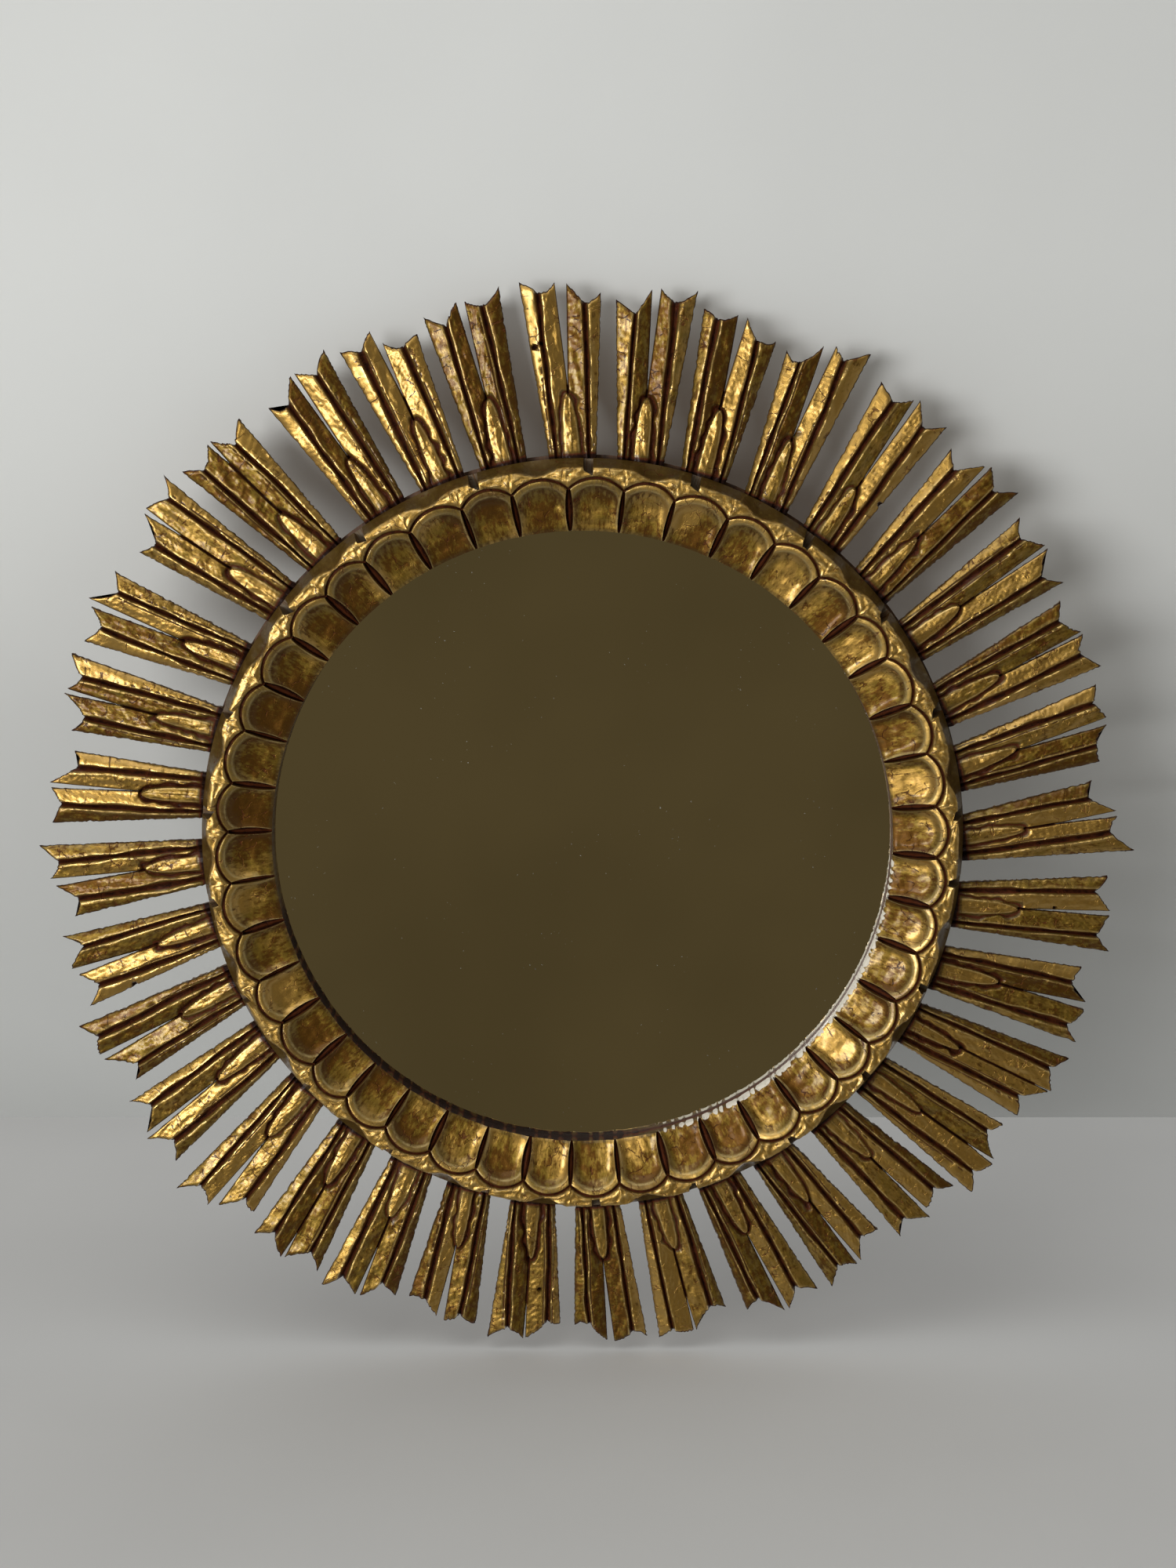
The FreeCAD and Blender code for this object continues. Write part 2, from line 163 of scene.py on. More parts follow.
class Mesh:
    """Collects points, quads, UVs and point attributes, and makes one object of them."""

    def __init__(self) -> None:
        """Starts empty."""
        self.points: list[Array] = []
        self.faces: list[list[int]] = []
        self.flat_uv: list[Array] = []
        self.values: dict[str, list[Array]] = {}
        self.count = 0

    def add(self, points: Array, flat: Array, values: dict[str, Array] | None = None) -> Array:
        """Adds points with their UVs and attribute values.

        Args:
            points: millimetres, any shape by 3.
            flat: UV coordinates in centimetres, the same shape by 2.
            values: attribute values that fit the points' shape, if the finish needs any.

        Returns:
            The new vertex numbers, in the points' shape.
        """
        shape = points.shape[:-1]
        index = np.arange(self.count, self.count + int(np.prod(shape))).reshape(shape)
        self.count += index.size
        self.points.append(points.reshape(-1, 3))
        self.flat_uv.append(np.broadcast_to(flat, shape + (2,)).reshape(-1, 2))
        for name, value in (values or {}).items():
            self.values.setdefault(name, []).append(np.broadcast_to(value, shape).ravel())
        return index

    def quads(self, index: Array) -> None:
        """Adds the quads of a grid of vertex numbers, facing columns crossed with rows."""
        corners = [index[:-1, :-1], index[:-1, 1:], index[1:, 1:], index[1:, :-1]]
        self.faces.extend(np.stack([corner.ravel() for corner in corners], axis=1).tolist())

    def face(self, loop: Iterable[int]) -> None:
        """Adds one flat face round a loop of vertex numbers."""
        self.faces.append([int(number) for number in loop])

    def finish(self, name: str, crease_deg: float = 38.0) -> bpy.types.Object:
        """Makes the object, smooth except across edges sharper than the crease angle.

        Args:
            name: the object's name.
            crease_deg: angle in degrees past which an edge is drawn sharp.

        Returns:
            The object, at the origin and linked to the scene.
        """
        mesh = bpy.data.meshes.new(name)
        mesh.from_pydata((np.concatenate(self.points) * MM).tolist(), [], self.faces)
        for label, parts in self.values.items():
            layer = mesh.attributes.new(label, "FLOAT", "POINT")
            layer.data.foreach_set("value", np.concatenate(parts).astype(np.float32))
        corner = np.zeros(len(mesh.loops), np.int32)
        mesh.loops.foreach_get("vertex_index", corner)
        layer = mesh.uv_layers.new(name="UVMap")
        flat = np.concatenate(self.flat_uv)[corner]
        layer.uv.foreach_set("vector", flat.astype(np.float32).ravel())
        mesh.shade_smooth()
        mesh.set_sharp_from_angle(angle=math.radians(crease_deg))
        mesh.validate()
        return placed(name, mesh)


def fit_piece(piece: bpy.types.Object, body: Body, slot: Slot, material: bpy.types.Material,
              *nodes: str) -> bpy.types.Object:
    """Dresses a new piece and lets it ride in the place of CAD nodes.

    Args:
        piece: the new piece.
        body: the body that it moves with.
        slot: not used.
        material: its material.
        nodes: the CAD nodes that it stands for.

    Returns:
        The same piece.
    """
    piece.data.materials.append(material)
    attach(piece, body.value)
    if nodes:
        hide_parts(*nodes)
    LOG.info("%s: %d faces", piece.name, len(piece.data.polygons))
    return piece


class Value:
    """A number on its way through a node tree, with Python's arithmetic."""

    def __init__(self, tree: "Tree", socket: bpy.types.NodeSocket) -> None:
        """Wraps an output socket."""
        self.tree = tree
        self.socket = socket

    def math(self, operation: str, *others: "Value | float") -> "Value":
        """One Math node with this value first."""
        inputs = dict(enumerate((self, *others)))
        node = self.tree.node("ShaderNodeMath", {"operation": operation}, inputs)
        return Value(self.tree, node.outputs[0])

    def __add__(self, other: "Value | float") -> "Value":
        """This plus the other."""
        return self.math("ADD", other)

    def __sub__(self, other: "Value | float") -> "Value":
        """This minus the other."""
        return self.math("SUBTRACT", other)

    def __rsub__(self, other: float) -> "Value":
        """The other minus this."""
        return (self * -1) + other

    def __mul__(self, other: "Value | float") -> "Value":
        """This times the other."""
        return self.math("MULTIPLY", other)

    __radd__ = __add__

    def larger(self, other: "Value | float") -> "Value":
        """The larger of the two."""
        return self.math("MAXIMUM", other)

    def ramp(self, low: float, high: float, start: float = 0.0, end: float = 1.0) -> "Value":
        """Goes smoothly from start to end as this goes from low to high."""
        node = self.tree.node("ShaderNodeMapRange", {"interpolation_type": "SMOOTHSTEP"},
                              {"Value": self, "From Min": low, "From Max": high,
                               "To Min": start, "To Max": end})
        return Value(self.tree, node.outputs["Result"])


class Tree:
    """A node tree being drawn, with a single method for every node."""

    def __init__(self, tree: bpy.types.NodeTree) -> None:
        """Keeps the tree."""
        self.tree = tree

    def node(self, kind: str, settings: dict, inputs: dict) -> bpy.types.Node:
        """Adds one node, its settings first and then its inputs.

        Args:
            kind: the node's type.
            settings: properties by name.
            inputs: values, sockets or Value objects by socket name or number.

        Returns:
            The new node.
        """
        made = self.tree.nodes.new(kind)
        for name, value in settings.items():
            setattr(made, name, value)
        self.feed(made, inputs)
        return made

    def feed(self, node: bpy.types.Node, inputs: dict) -> None:
        """Sets or links a node's inputs.

        Args:
            node: the node that is fed.
            inputs: values, sockets or Value objects by socket name or number.
        """
        for name, value in inputs.items():
            source = value.socket if isinstance(value, Value) else value
            if isinstance(source, bpy.types.NodeSocket):
                self.tree.links.new(source, node.inputs[name])
            else:
                node.inputs[name].default_value = source

    def mix(self, share: "Value | float", first: "Colour | bpy.types.NodeSocket",
            second: "Colour | bpy.types.NodeSocket") -> bpy.types.NodeSocket:
        """The first colour going over to the second with the share."""
        node = self.node("ShaderNodeMix", {"data_type": "RGBA"}, {0: share, 6: first, 7: second})
        return node.outputs[2]


class Shader(Tree):
    """One material being drawn."""

    def __init__(self, name: str) -> None:
        """Makes the material and its Principled shader."""
        self.material = bpy.data.materials.new(name)
        self.material.use_nodes = True
        super().__init__(self.material.node_tree)
        self.surface = self.tree.nodes["Principled BSDF"]

    def attribute(self, name: str) -> Value:
        """A point attribute of the piece, as a number."""
        node = self.node("ShaderNodeAttribute", {"attribute_name": name}, {})
        return Value(self, node.outputs["Fac"])

    def flat(self) -> bpy.types.NodeSocket:
        """The piece's own UV map, in centimetres."""
        return self.node("ShaderNodeUVMap", {"uv_map": "UVMap"}, {}).outputs["UV"]

    def place(self) -> bpy.types.NodeSocket:
        """Object coordinates, in metres."""
        return self.node("ShaderNodeTexCoord", {}, {}).outputs["Object"]

    def stretch(self, vector: bpy.types.NodeSocket, *scale: float) -> bpy.types.NodeSocket:
        """The vector with each axis scaled."""
        node = self.node("ShaderNodeMapping", {}, {"Vector": vector, "Scale": scale})
        return node.outputs["Vector"]

    def noise(self, vector: bpy.types.NodeSocket, scale: float, detail: float = 3.0,
              roughness: float = 0.55, distortion: float = 0.0) -> Value:
        """Cloudy noise from 0 to 1, by the noise node's own inputs."""
        node = self.node("ShaderNodeTexNoise", {"noise_dimensions": "3D"},
                         {"Vector": vector, "Scale": scale, "Detail": detail,
                          "Roughness": roughness, "Distortion": distortion})
        return Value(self, node.outputs["Fac"])

    def warped(self, vector: bpy.types.NodeSocket, scale: float,
               amount: float) -> bpy.types.NodeSocket:
        """The vector pushed about by noise, so that what follows it wanders."""
        push = self.node("ShaderNodeTexNoise", {},
                         {"Vector": vector, "Scale": scale, "Detail": 2.0})
        shift = self.node("ShaderNodeVectorMath", {"operation": "MULTIPLY_ADD"},
                          {0: push.outputs["Color"], 1: (amount,) * 3, 2: vector})
        return shift.outputs[0]

    def cells(self, vector: bpy.types.NodeSocket, scale: float) -> Value:
        """Distance to the nearest border of a net of random cells."""
        node = self.node("ShaderNodeTexVoronoi", {"feature": "DISTANCE_TO_EDGE"},
                         {"Vector": vector, "Scale": scale})
        return Value(self, node.outputs["Distance"])

    def bump(self, height: Value, depth_mm: float) -> bpy.types.NodeSocket:
        """A normal that follows a height from 0 to 1 worth so many millimetres."""
        node = self.node("ShaderNodeBump", {}, {"Height": height, "Distance": depth_mm * MM})
        return node.outputs["Normal"]

    def finish(self, **inputs: object) -> bpy.types.Material:
        """Feeds the Principled shader by socket names with underscores for spaces."""
        self.feed(self.surface, {name.replace("_", " "): value for name, value in inputs.items()})
        return self.material


@dataclass(frozen=True)
class AgedGilding:
    """Water gilding on gesso and red bole, toned down, rubbed and crackled."""

    name: str
    leaf: Colour = paint(179, 142, 70)
    olive: Colour = paint(131, 106, 40)
    brown: Colour = paint(90, 55, 19)
    bole: Colour = paint(104, 46, 24)
    patina: Colour = paint(78, 60, 22)
    umber: Colour = paint(80, 38, 16)
    soot: Colour = paint(32, 12, 5)
    gesso: Colour = paint(206, 200, 186)
    bare: Colour = paint(126, 98, 66)
    # The colour of the painted highlights, and how much duller (plus) or shinier (minus) they are.
    pale: Colour = paint(238, 206, 132)
    pale_dulling: float = -0.06
    crack_stretch: tuple[float, float, float] = (0.5, 1.0, 1.0)

    def material(self) -> bpy.types.Material:
        """Draws the finish, from the leaf up to the dirt, over the attributes of FINISH.

        Each layer lies over the ones before it: olive and brown clouds in the leaf, bole where it
        is rubbed, flecks, painted highlights in the pale colour on rims, arrises and lumps, patina
        in the hollows, dark glaze in the cuts with painted shade at the rays' roots, and then
        broken edges, bare gesso and raw wood.

        Returns:
            The material.
        """
        shader = Shader(self.name)
        flat = shader.flat()
        glaze, worn, tone, pale, gesso, bare = (shader.attribute(name) for name in FINISH)

        cloud = shader.noise(flat, 1.1, 4.0, 0.6, 0.4)
        mottle = shader.noise(shader.stretch(flat, 1.0, 0.4, 1.0), 5.5, 5.0, 0.7)
        grit = shader.noise(flat, 24.0, 3.0, 0.7)
        stain = shader.noise(shader.warped(flat, 2.0, 0.5), 1.7, 4.0, 0.65)

        netting = shader.warped(shader.stretch(flat, *self.crack_stretch), 3.0, 0.35)
        crack = shader.cells(netting, 1.3).ramp(0.0, 0.03, 1.0, 0.0) * stain.ramp(0.49, 0.58)

        olive_share = (cloud * 0.45 + mottle * 0.55 + (0.5 - tone) * 0.5).ramp(0.36, 0.60)
        colour = shader.mix(olive_share, self.leaf, self.olive)
        brown_share = (mottle * 0.65 + stain * 0.35 + (0.5 - tone) * 0.2).ramp(0.47, 0.61)
        colour = shader.mix(brown_share * 0.85, colour, self.brown)
        rub = (stain * 0.5 + grit * 0.25 + worn * 0.35).ramp(0.58, 0.70)
        colour = shader.mix(rub * 0.75, colour, self.bole)
        fleck = (grit * 0.6 + mottle * 0.4).ramp(0.57, 0.65)
        colour = shader.mix(fleck * 0.65, colour, self.umber)
        # Painted highlight: where the pale attribute is set, the leaf goes over to the pale colour,
        # and pale_dulling makes it shinier or duller.
        bright = pale * (mottle * 0.6 + grit * 0.4).ramp(0.34, 0.58)
        colour = shader.mix(bright * 0.8, colour, self.pale)
        # The patina layer and the dark layer below follow the glaze attribute, so they also draw
        # the painted shade at the rays' roots.
        patina_and_shade = (glaze + (mottle - 0.5) * 0.5 * glaze.ramp(0.02, 0.2)).ramp(0.08, 0.42)
        colour = shader.mix(patina_and_shade * 0.85, colour, self.patina)
        dark = (glaze + (grit - 0.5) * 0.45 * glaze.ramp(0.3, 0.6)).ramp(0.48, 0.72)
        dark = dark.larger(crack * 0.85)
        depth = (glaze + (mottle - 0.5) * 0.6 + (grit - 0.5) * 0.3).ramp(0.74, 0.98)
        colour = shader.mix(dark, colour, shader.mix(depth, self.umber, self.soot))
        broken = (worn + (grit - 0.5) * 0.7).ramp(0.60, 0.88)
        colour = shader.mix(broken, colour, self.soot)
        white = (gesso + (grit - 0.5) * 0.5 * gesso.ramp(0.05, 0.4)).ramp(0.45, 0.6)
        colour = shader.mix(white, colour, self.gesso)
        raw = shader.noise(shader.stretch(flat, 6.0, 0.35, 1.0), 3.0, 4.0, 0.6)
        wood = shader.mix(raw.ramp(0.35, 0.75), self.bare, self.brown)
        colour = shader.mix(bare, colour, wood)

        covered = (dark * 0.85).larger(broken).larger(white).larger(bare)
        lacquer = (1 - covered) * (1 - brown_share * 0.6) * (1 - rub * 0.5)
        metallic = (1 - covered) * (1 - rub * 0.5) * (1 - fleck * 0.3) * (1 - patina_and_shade * 0.4) * 0.95
        sheen = 0.25 + mottle * 0.15 + bright * self.pale_dulling + olive_share * 0.11 + patina_and_shade * 0.1
        roughness = (sheen + grit * 0.08) * (1 - covered) + covered * 0.68
        relief = cloud * 0.4 + mottle * 0.22 + grit * 0.1 - crack * 0.4 - broken * 0.3
        return shader.finish(Base_Color=colour, Metallic=metallic, Roughness=roughness,
                             Coat_Weight=lacquer * 0.55, Coat_Roughness=0.22,
                             Specular_IOR_Level=0.12, Normal=shader.bump(relief, 0.6))


@dataclass(frozen=True)
class FoxedSilver:
    """Silvering behind glass, with foxing specks and a faint haze."""

    name: str = "foxed_silver"
    silver: Colour = paint(230, 229, 222)
    haze: Colour = paint(212, 211, 203)
    speck: Colour = paint(34, 28, 22)

    def material(self) -> bpy.types.Material:
        """Draws the mirror's face.

        Returns:
            The material.
        """
        shader = Shader(self.name)
        place = shader.place()
        haze = shader.noise(place, 6.0, 3.0, 0.5)
        specks = shader.noise(place, 700.0, 2.0, 0.5)
        clumps = shader.noise(place, 30.0, 3.0, 0.6)
        foxed = specks.ramp(0.72, 0.76) * clumps.ramp(0.52, 0.62)
        colour = shader.mix(haze.ramp(0.35, 0.7), self.silver, self.haze)
        colour = shader.mix(foxed, colour, self.speck)
        roughness = 0.012 + foxed * 0.5 + haze.ramp(0.5, 0.8) * 0.006
        return shader.finish(Base_Color=colour, Metallic=1.0 - foxed, Roughness=roughness,
                             Coat_Weight=1.0, Coat_Roughness=0.01)


@dataclass(frozen=True)
class StainedPly:
    """Dark stained plywood with long grain and scuffs."""

    name: str = "stained_ply"
    stain: Colour = paint(96, 66, 42)
    grain: Colour = paint(58, 37, 23)
    scuff: Colour = paint(142, 112, 78)

    def material(self) -> bpy.types.Material:
        """Draws the backing disc.

        Returns:
            The material.
        """
        shader = Shader(self.name)
        place = shader.place()
        bent = shader.warped(place, 6.0, 0.02)
        grain = shader.noise(shader.stretch(bent, 90.0, 90.0, 4.0), 3.0, 5.0, 0.65)
        fine = shader.noise(shader.stretch(place, 400.0, 400.0, 22.0), 2.0, 3.0, 0.6)
        wear = shader.noise(place, 26.0, 5.0, 0.7)
        colour = shader.mix((grain * 0.7 + fine * 0.3).ramp(0.38, 0.66), self.stain, self.grain)
        scuffed = wear.ramp(0.62, 0.74)
        colour = shader.mix(scuffed * 0.55, colour, self.scuff)
        return shader.finish(Base_Color=colour, Roughness=0.58 + wear * 0.2,
                             Normal=shader.bump(grain * 0.6 + fine * 0.4, 0.25))


@dataclass(frozen=True)
class GreyCard:
    """Pulp card with flecks."""

    name: str = "pulp_card"
    pulp: Colour = paint(150, 130, 104)
    fleck: Colour = paint(102, 84, 62)

    def material(self) -> bpy.types.Material:
        """Draws the packing card.

        Returns:
            The material.
        """
        shader = Shader(self.name)
        place = shader.place()
        fibre = shader.noise(place, 900.0, 4.0, 0.7)
        cloud = shader.noise(place, 40.0, 3.0, 0.6)
        colour = shader.mix(fibre.ramp(0.5, 0.72), self.pulp, self.fleck)
        return shader.finish(Base_Color=colour, Roughness=0.85 + cloud * 0.1,
                             Normal=shader.bump(fibre, 0.08))


@dataclass(frozen=True)
class OldMetal:
    """Handled metal: one bright tone, one tarnished, with fine scratches."""

    name: str
    bright: Colour
    tarnish: Colour
    shine: float = 0.34
    metal: float = 1.0

    def material(self) -> bpy.types.Material:
        """Draws the metal.

        Returns:
            The material.
        """
        shader = Shader(self.name)
        place = shader.place()
        cloud = shader.noise(place, 260.0, 4.0, 0.65)
        blot = shader.noise(place, 900.0, 4.0, 0.7)
        scratch = shader.noise(shader.stretch(place, 300.0, 300.0, 4000.0), 1.0, 2.0, 0.5)
        dull = (cloud * 0.6 + blot * 0.4).ramp(0.42, 0.62)
        colour = shader.mix(dull, self.bright, self.tarnish)
        roughness = self.shine + dull * 0.28 + scratch * 0.1
        return shader.finish(Base_Color=colour, Metallic=(1 - dull * 0.45) * self.metal,
                             Roughness=roughness,
                             Normal=shader.bump(blot * 0.6 + scratch * 0.4, 0.06))


IRON = OldMetal("cut_iron", paint(96, 90, 84), paint(58, 36, 24), 0.5)
BRASS = OldMetal("aged_brass", paint(196, 156, 84), paint(104, 78, 38), 0.32)
STEEL = OldMetal("plain_steel", paint(176, 172, 166), paint(96, 84, 72), 0.36)


class Section:
    """Levels of the mirror in millimetres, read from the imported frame."""

    def __init__(self) -> None:
        """Reads the boxes of the ring, the disc and the glass."""
        ring_low, ring_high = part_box("carved_ring")
        self.ring_r = ring_high.x / MM
        self.ring_front = -ring_low.y / MM
        self.disc_front = -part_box("backing_disc")[0].y / MM
        self.glass_front = -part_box("mirror_glass")[0].y / MM


# Each ray: root angle and lean in degrees, then its points as shares of the ray's length:
# where the slot starts, outer point, notch and inner point of the left finger,
# inner point, notch and outer point of the right finger
RAY_SHARES = (
    (8.6, -1.0, 0.43, 0.94, 0.87, 1.02, 1.03, 0.96, 1.04),
    (18.1, -1.3, 0.52, 0.97, 0.93, 0.98, 0.98, 0.86, 0.88),
    (28.2, -1.9, 0.42, 0.89, 0.85, 0.99, 1.02, 0.96, 1.06),
    (38.1, -1.2, 0.43, 0.98, 0.92, 1.00, 1.02, 0.90, 0.98),
    (48.2, -1.2, 0.46, 0.93, 0.85, 1.00, 1.02, 0.93, 1.03),
    (58.4, -1.0, 0.48, 0.97, 0.90, 1.00, 1.00, 0.88, 0.97),
    (69.2, -2.0, 0.42, 0.93, 0.87, 0.96, 0.97, 0.90, 0.98),
    (79.2, -2.1, 0.40, 0.96, 0.91, 0.96, 0.95, 0.86, 0.85),
    (89.8, -2.6, 0.57, 0.84, 0.81, 0.96, 0.96, 0.91, 1.04),
    (100.1, -1.9, 0.44, 0.94, 0.87, 0.97, 0.97, 0.91, 0.99),
    (110.2, -1.5, 0.57, 0.89, 0.86, 0.98, 0.98, 0.91, 1.00),
    (119.7, -0.8, 0.90, 1.02, 0.94, 1.02, 1.01, 0.85, 0.91),
    (129.7, -1.0, 0.78, 0.89, 0.83, 0.98, 0.99, 0.92, 1.00),
    (139.0, -1.3, 0.50, 0.91, 0.83, 0.90, 0.95, 0.84, 0.91),
    (149.4, -2.2, 0.50, 0.82, 0.79, 0.92, 0.92, 0.86, 0.95),
    (158.6, -1.7, 0.41, 0.96, 0.88, 0.99, 0.99, 0.84, 0.88),
    (168.0, -0.7, 0.70, 0.84, 0.81, 0.94, 0.94, 0.90, 0.94),
    (177.7, -0.9, 0.40, 0.93, 0.89, 0.94, 0.93, 0.81, 0.81),
    (187.7, -1.2, 0.69, 0.82, 0.81, 0.93, 0.94, 0.87, 0.95),
    (197.8, -1.6, 0.40, 0.90, 0.86, 0.92, 0.90, 0.81, 0.81),
    (207.3, -1.5, 0.60, 0.87, 0.82, 0.95, 0.96, 0.88, 0.98),
    (217.2, -2.1, 0.78, 0.95, 0.86, 0.97, 0.98, 0.86, 0.93),
    (227.4, -2.7, 0.43, 0.87, 0.83, 0.97, 1.01, 0.94, 1.05),
    (237.2, -2.0, 0.42, 0.98, 0.90, 1.02, 1.00, 0.86, 0.95),
    (246.9, -1.8, 0.45, 0.88, 0.81, 0.98, 0.99, 0.94, 1.01),
    (256.8, -1.9, 0.50, 0.93, 0.83, 0.92, 0.96, 0.83, 0.93),
    (266.6, -1.5, 0.41, 0.86, 0.82, 0.94, 0.97, 0.90, 1.00),
    (276.8, -1.0, 0.40, 0.94, 0.89, 0.95, 0.96, 0.80, 0.82),
    (287.0, -0.8, 0.59, 0.87, 0.81, 0.96, 0.95, 0.88, 0.97),
    (297.6, -1.6, 0.41, 0.95, 0.88, 0.98, 1.01, 0.86, 0.92),
    (308.8, -1.5, 0.72, 0.89, 0.83, 0.98, 0.99, 0.91, 1.01),
    (318.4, -1.3, 0.79, 0.97, 0.88, 0.97, 0.97, 0.85, 0.94),
    (329.5, -1.1, 0.40, 0.90, 0.85, 0.99, 0.98, 0.90, 1.00),
    (339.0, -1.0, 0.56, 0.96, 0.91, 1.00, 0.91, 0.84, 0.87),
    (348.4, -1.0, 0.44, 0.97, 0.89, 1.01, 1.00, 0.95, 1.03),
    (358.6, -0.8, 0.43, 1.06, 0.99, 1.04, 1.03, 0.91, 0.96),
)

# Width of each ray's slot at its tip, in millimetres
SLOT_WIDTHS = (3.8, 4.6, 5.2, 2.5, 2.3, 2.1, 1.7, 3.7, 3.1, 2.5, 3.8, 0.8,
               2.5, 2.5, 2.9, 2.5, 1.7, 3.7, 1.3, 4.6, 2.5, 1.9, 4.2, 2.5,
               3.3, 4.2, 4.2, 2.7, 2.9, 3.3, 2.7, 2.3, 2.3, 3.7, 3.7, 5.0)

# Worm holes and chips in the rays: ray number, share across, share along and radius in millimetres
RAY_HOLES = ((36, 0.07, 0.665, 1.3), (36, 0.17, 0.685, 1.1), (19, 0.31, 0.587, 1.0),
             (4, 0.965, 0.376, 1.2), (26, 0.03, 0.61, 1.4), (10, 0.46, 0.62, 0.8))

# How far each ray's UVs stand from those of the ray before it, in centimetres
UV_STEP = (5.3, 2.9)

# Levels of a ray's wall: share of the way down, millimetres inward and share of bare wood
WALL_LEVELS = ((0.12, 0.05, 0.0), (0.5, 0.22, 0.25), (0.93, 0.3, 0.6), (1.0, 0.45, 1.0))


@dataclass
class Ray:
    """One split ray: two fingers like low roofs, a groove down each ridge, a tongue and a slot.

    Sizes are in millimetres. A finger has two lobes, the outer one beside its groove and the inner
    one; near gives the columns' distances from the groove, and outer_shares those beyond them.
    """

    number: int
    section: Section
    root_deg: float
    lean_deg: float
    slot_share: float
    tips: tuple[float, ...]
    slot_width: float
    length: float = 76.0
    thick: float = 8.2
    tip_thick: float = 5.0
    root_gap: float = 9.2
    tip_gap: float = 7.2
    tenon: float = 12.0
    skin: float = 0.25
    groove_depth: float = 3.0
    outer_fall: float = 2.3
    inner_fall: float = 1.9
    tongue_length: float = 29.5
    tongue_half: float = 3.1
    tongue_crown: float = 0.45
    tongue_fall: float = 0.55
    ditch_width: float = 2.0
    ditch_depth: float = 2.6
    saw_half: float = 0.7
    saw_depth: float = 1.7
    lip_width: float = 0.8
    lip_depth: float = 0.3
    slot_round: float = 0.55
    side_width: float = 0.9
    side_round: float = 0.55
    tip_width: float = 2.2
    tip_round: float = 0.7
    hole_depth: float = 2.4
    score_place: float = 2.2
    score_half: float = 0.3
    score_depth: float = 0.5
    row_step: float = 0.7
    groove_wander: float = 0.12
    side_rough: float = 0.22
    notch_jag: float = 0.35
    wave_depth: float = 0.13
    fine_depth: float = 0.05
    wall_rough: float = 0.12
    corner_reach: float = 4.0
    near: tuple[float, ...] = (0.0, 0.3, 0.7, 1.1, 1.4, 1.75, 2.2)
    outer_shares: tuple[float, ...] = (0.22, 0.45, 0.68, 0.86, 1.0)
    inner_columns: int = 19
    rng: np.random.Generator = field(init=False)

    def __post_init__(self) -> None:
        """Draws this ray's own cuts: its grooves, the fall of its lobes, its tongue and scores."""
        self.rng = np.random.default_rng(SEED + self.number)
        draw = self.rng.uniform
        self.root_shares = draw(0.125, 0.18, 2)
        self.tip_shares = draw(0.19, 0.28, 2)
        self.groove_halves = draw(1.15, 1.8, 2)
        self.bows = draw(-1.9, 0.7, (2, 2))
        self.falls = np.array([self.outer_fall, self.inner_fall]) * draw(0.6, 1.25, (2, 2))
        self.tones = draw(0.0, 1.0, (2, 2))
        self.tongue_half *= draw(0.85, 1.12)
        self.tongue_drift = draw(-1.1, 1.1)
        self.tongue_tone = draw(0.5, 0.95)
        self.tongue_end = self.tongue_length * draw(0.93, 1.05)
        self.tongue_power = draw(2.2, 5.0)
        self.ditch_shares = draw(0.45, 1.0, 2)
        self.scores = draw(-0.6, 1.0, (2, 2))

    def width(self, share: Array) -> Array:
        """Width of the blade, which widens evenly from root to tip.

        Args:
            share: place along the blade, from 0 at the ring to 1 at the tip.

        Returns:
            Millimetres.
        """
        around = 2 * math.pi * self.section.ring_r / len(RAY_SHARES)
        around_tip = around * (self.section.ring_r + self.length) / self.section.ring_r
        root, tip = around - self.root_gap, around_tip - self.tip_gap
        return root + (tip - root) * share

    def slot_half(self, share: Array) -> Array:
        """Half the slot's width, which opens evenly from its start."""
        opened = (share - self.slot_share) / (1 - self.slot_share)
        return self.slot_width / 2 * np.clip(opened, 0, 1.1)

    def groove(self, hand: int, share: Array) -> Array:
        """Distance of a finger's groove from the blade's middle line."""
        root, tip = self.root_shares[hand], self.tip_shares[hand]
        return (0.5 - root - (tip - root) * np.clip(share, -0.1, 1.1)) * self.width(share)

    def columns(self) -> tuple[Array, Array, Array]:
        """Columns of a finger, from its outer edge over the groove to the middle line.

        Returns:
            For each column its distance from the groove in millimetres as far as it lies beside it,
            its share of what is left of the lobe, and whether it is in the inner lobe.
        """
        near = np.array(self.near)
        outer, inner = len(self.outer_shares), self.inner_columns
        beside = np.concatenate([np.full(outer, near[-1]), near[::-1], near[1:],
                                 np.full(inner, near[-1])])
        rest = np.concatenate([self.outer_shares[::-1], np.zeros(2 * len(near) - 1),
                               np.linspace(0, 1, inner + 1)[1:]])
        return beside, rest, np.arange(len(beside)) >= outer + len(near)

    def away(self, beside: Array, rest: Array, width: Array) -> Array:
        """Distance of the columns from the groove in a lobe of a given width."""
        tight = np.clip(width / (2 * self.near[-1]), 0, 1)
        return beside * tight + (width - self.near[-1] * tight) * rest

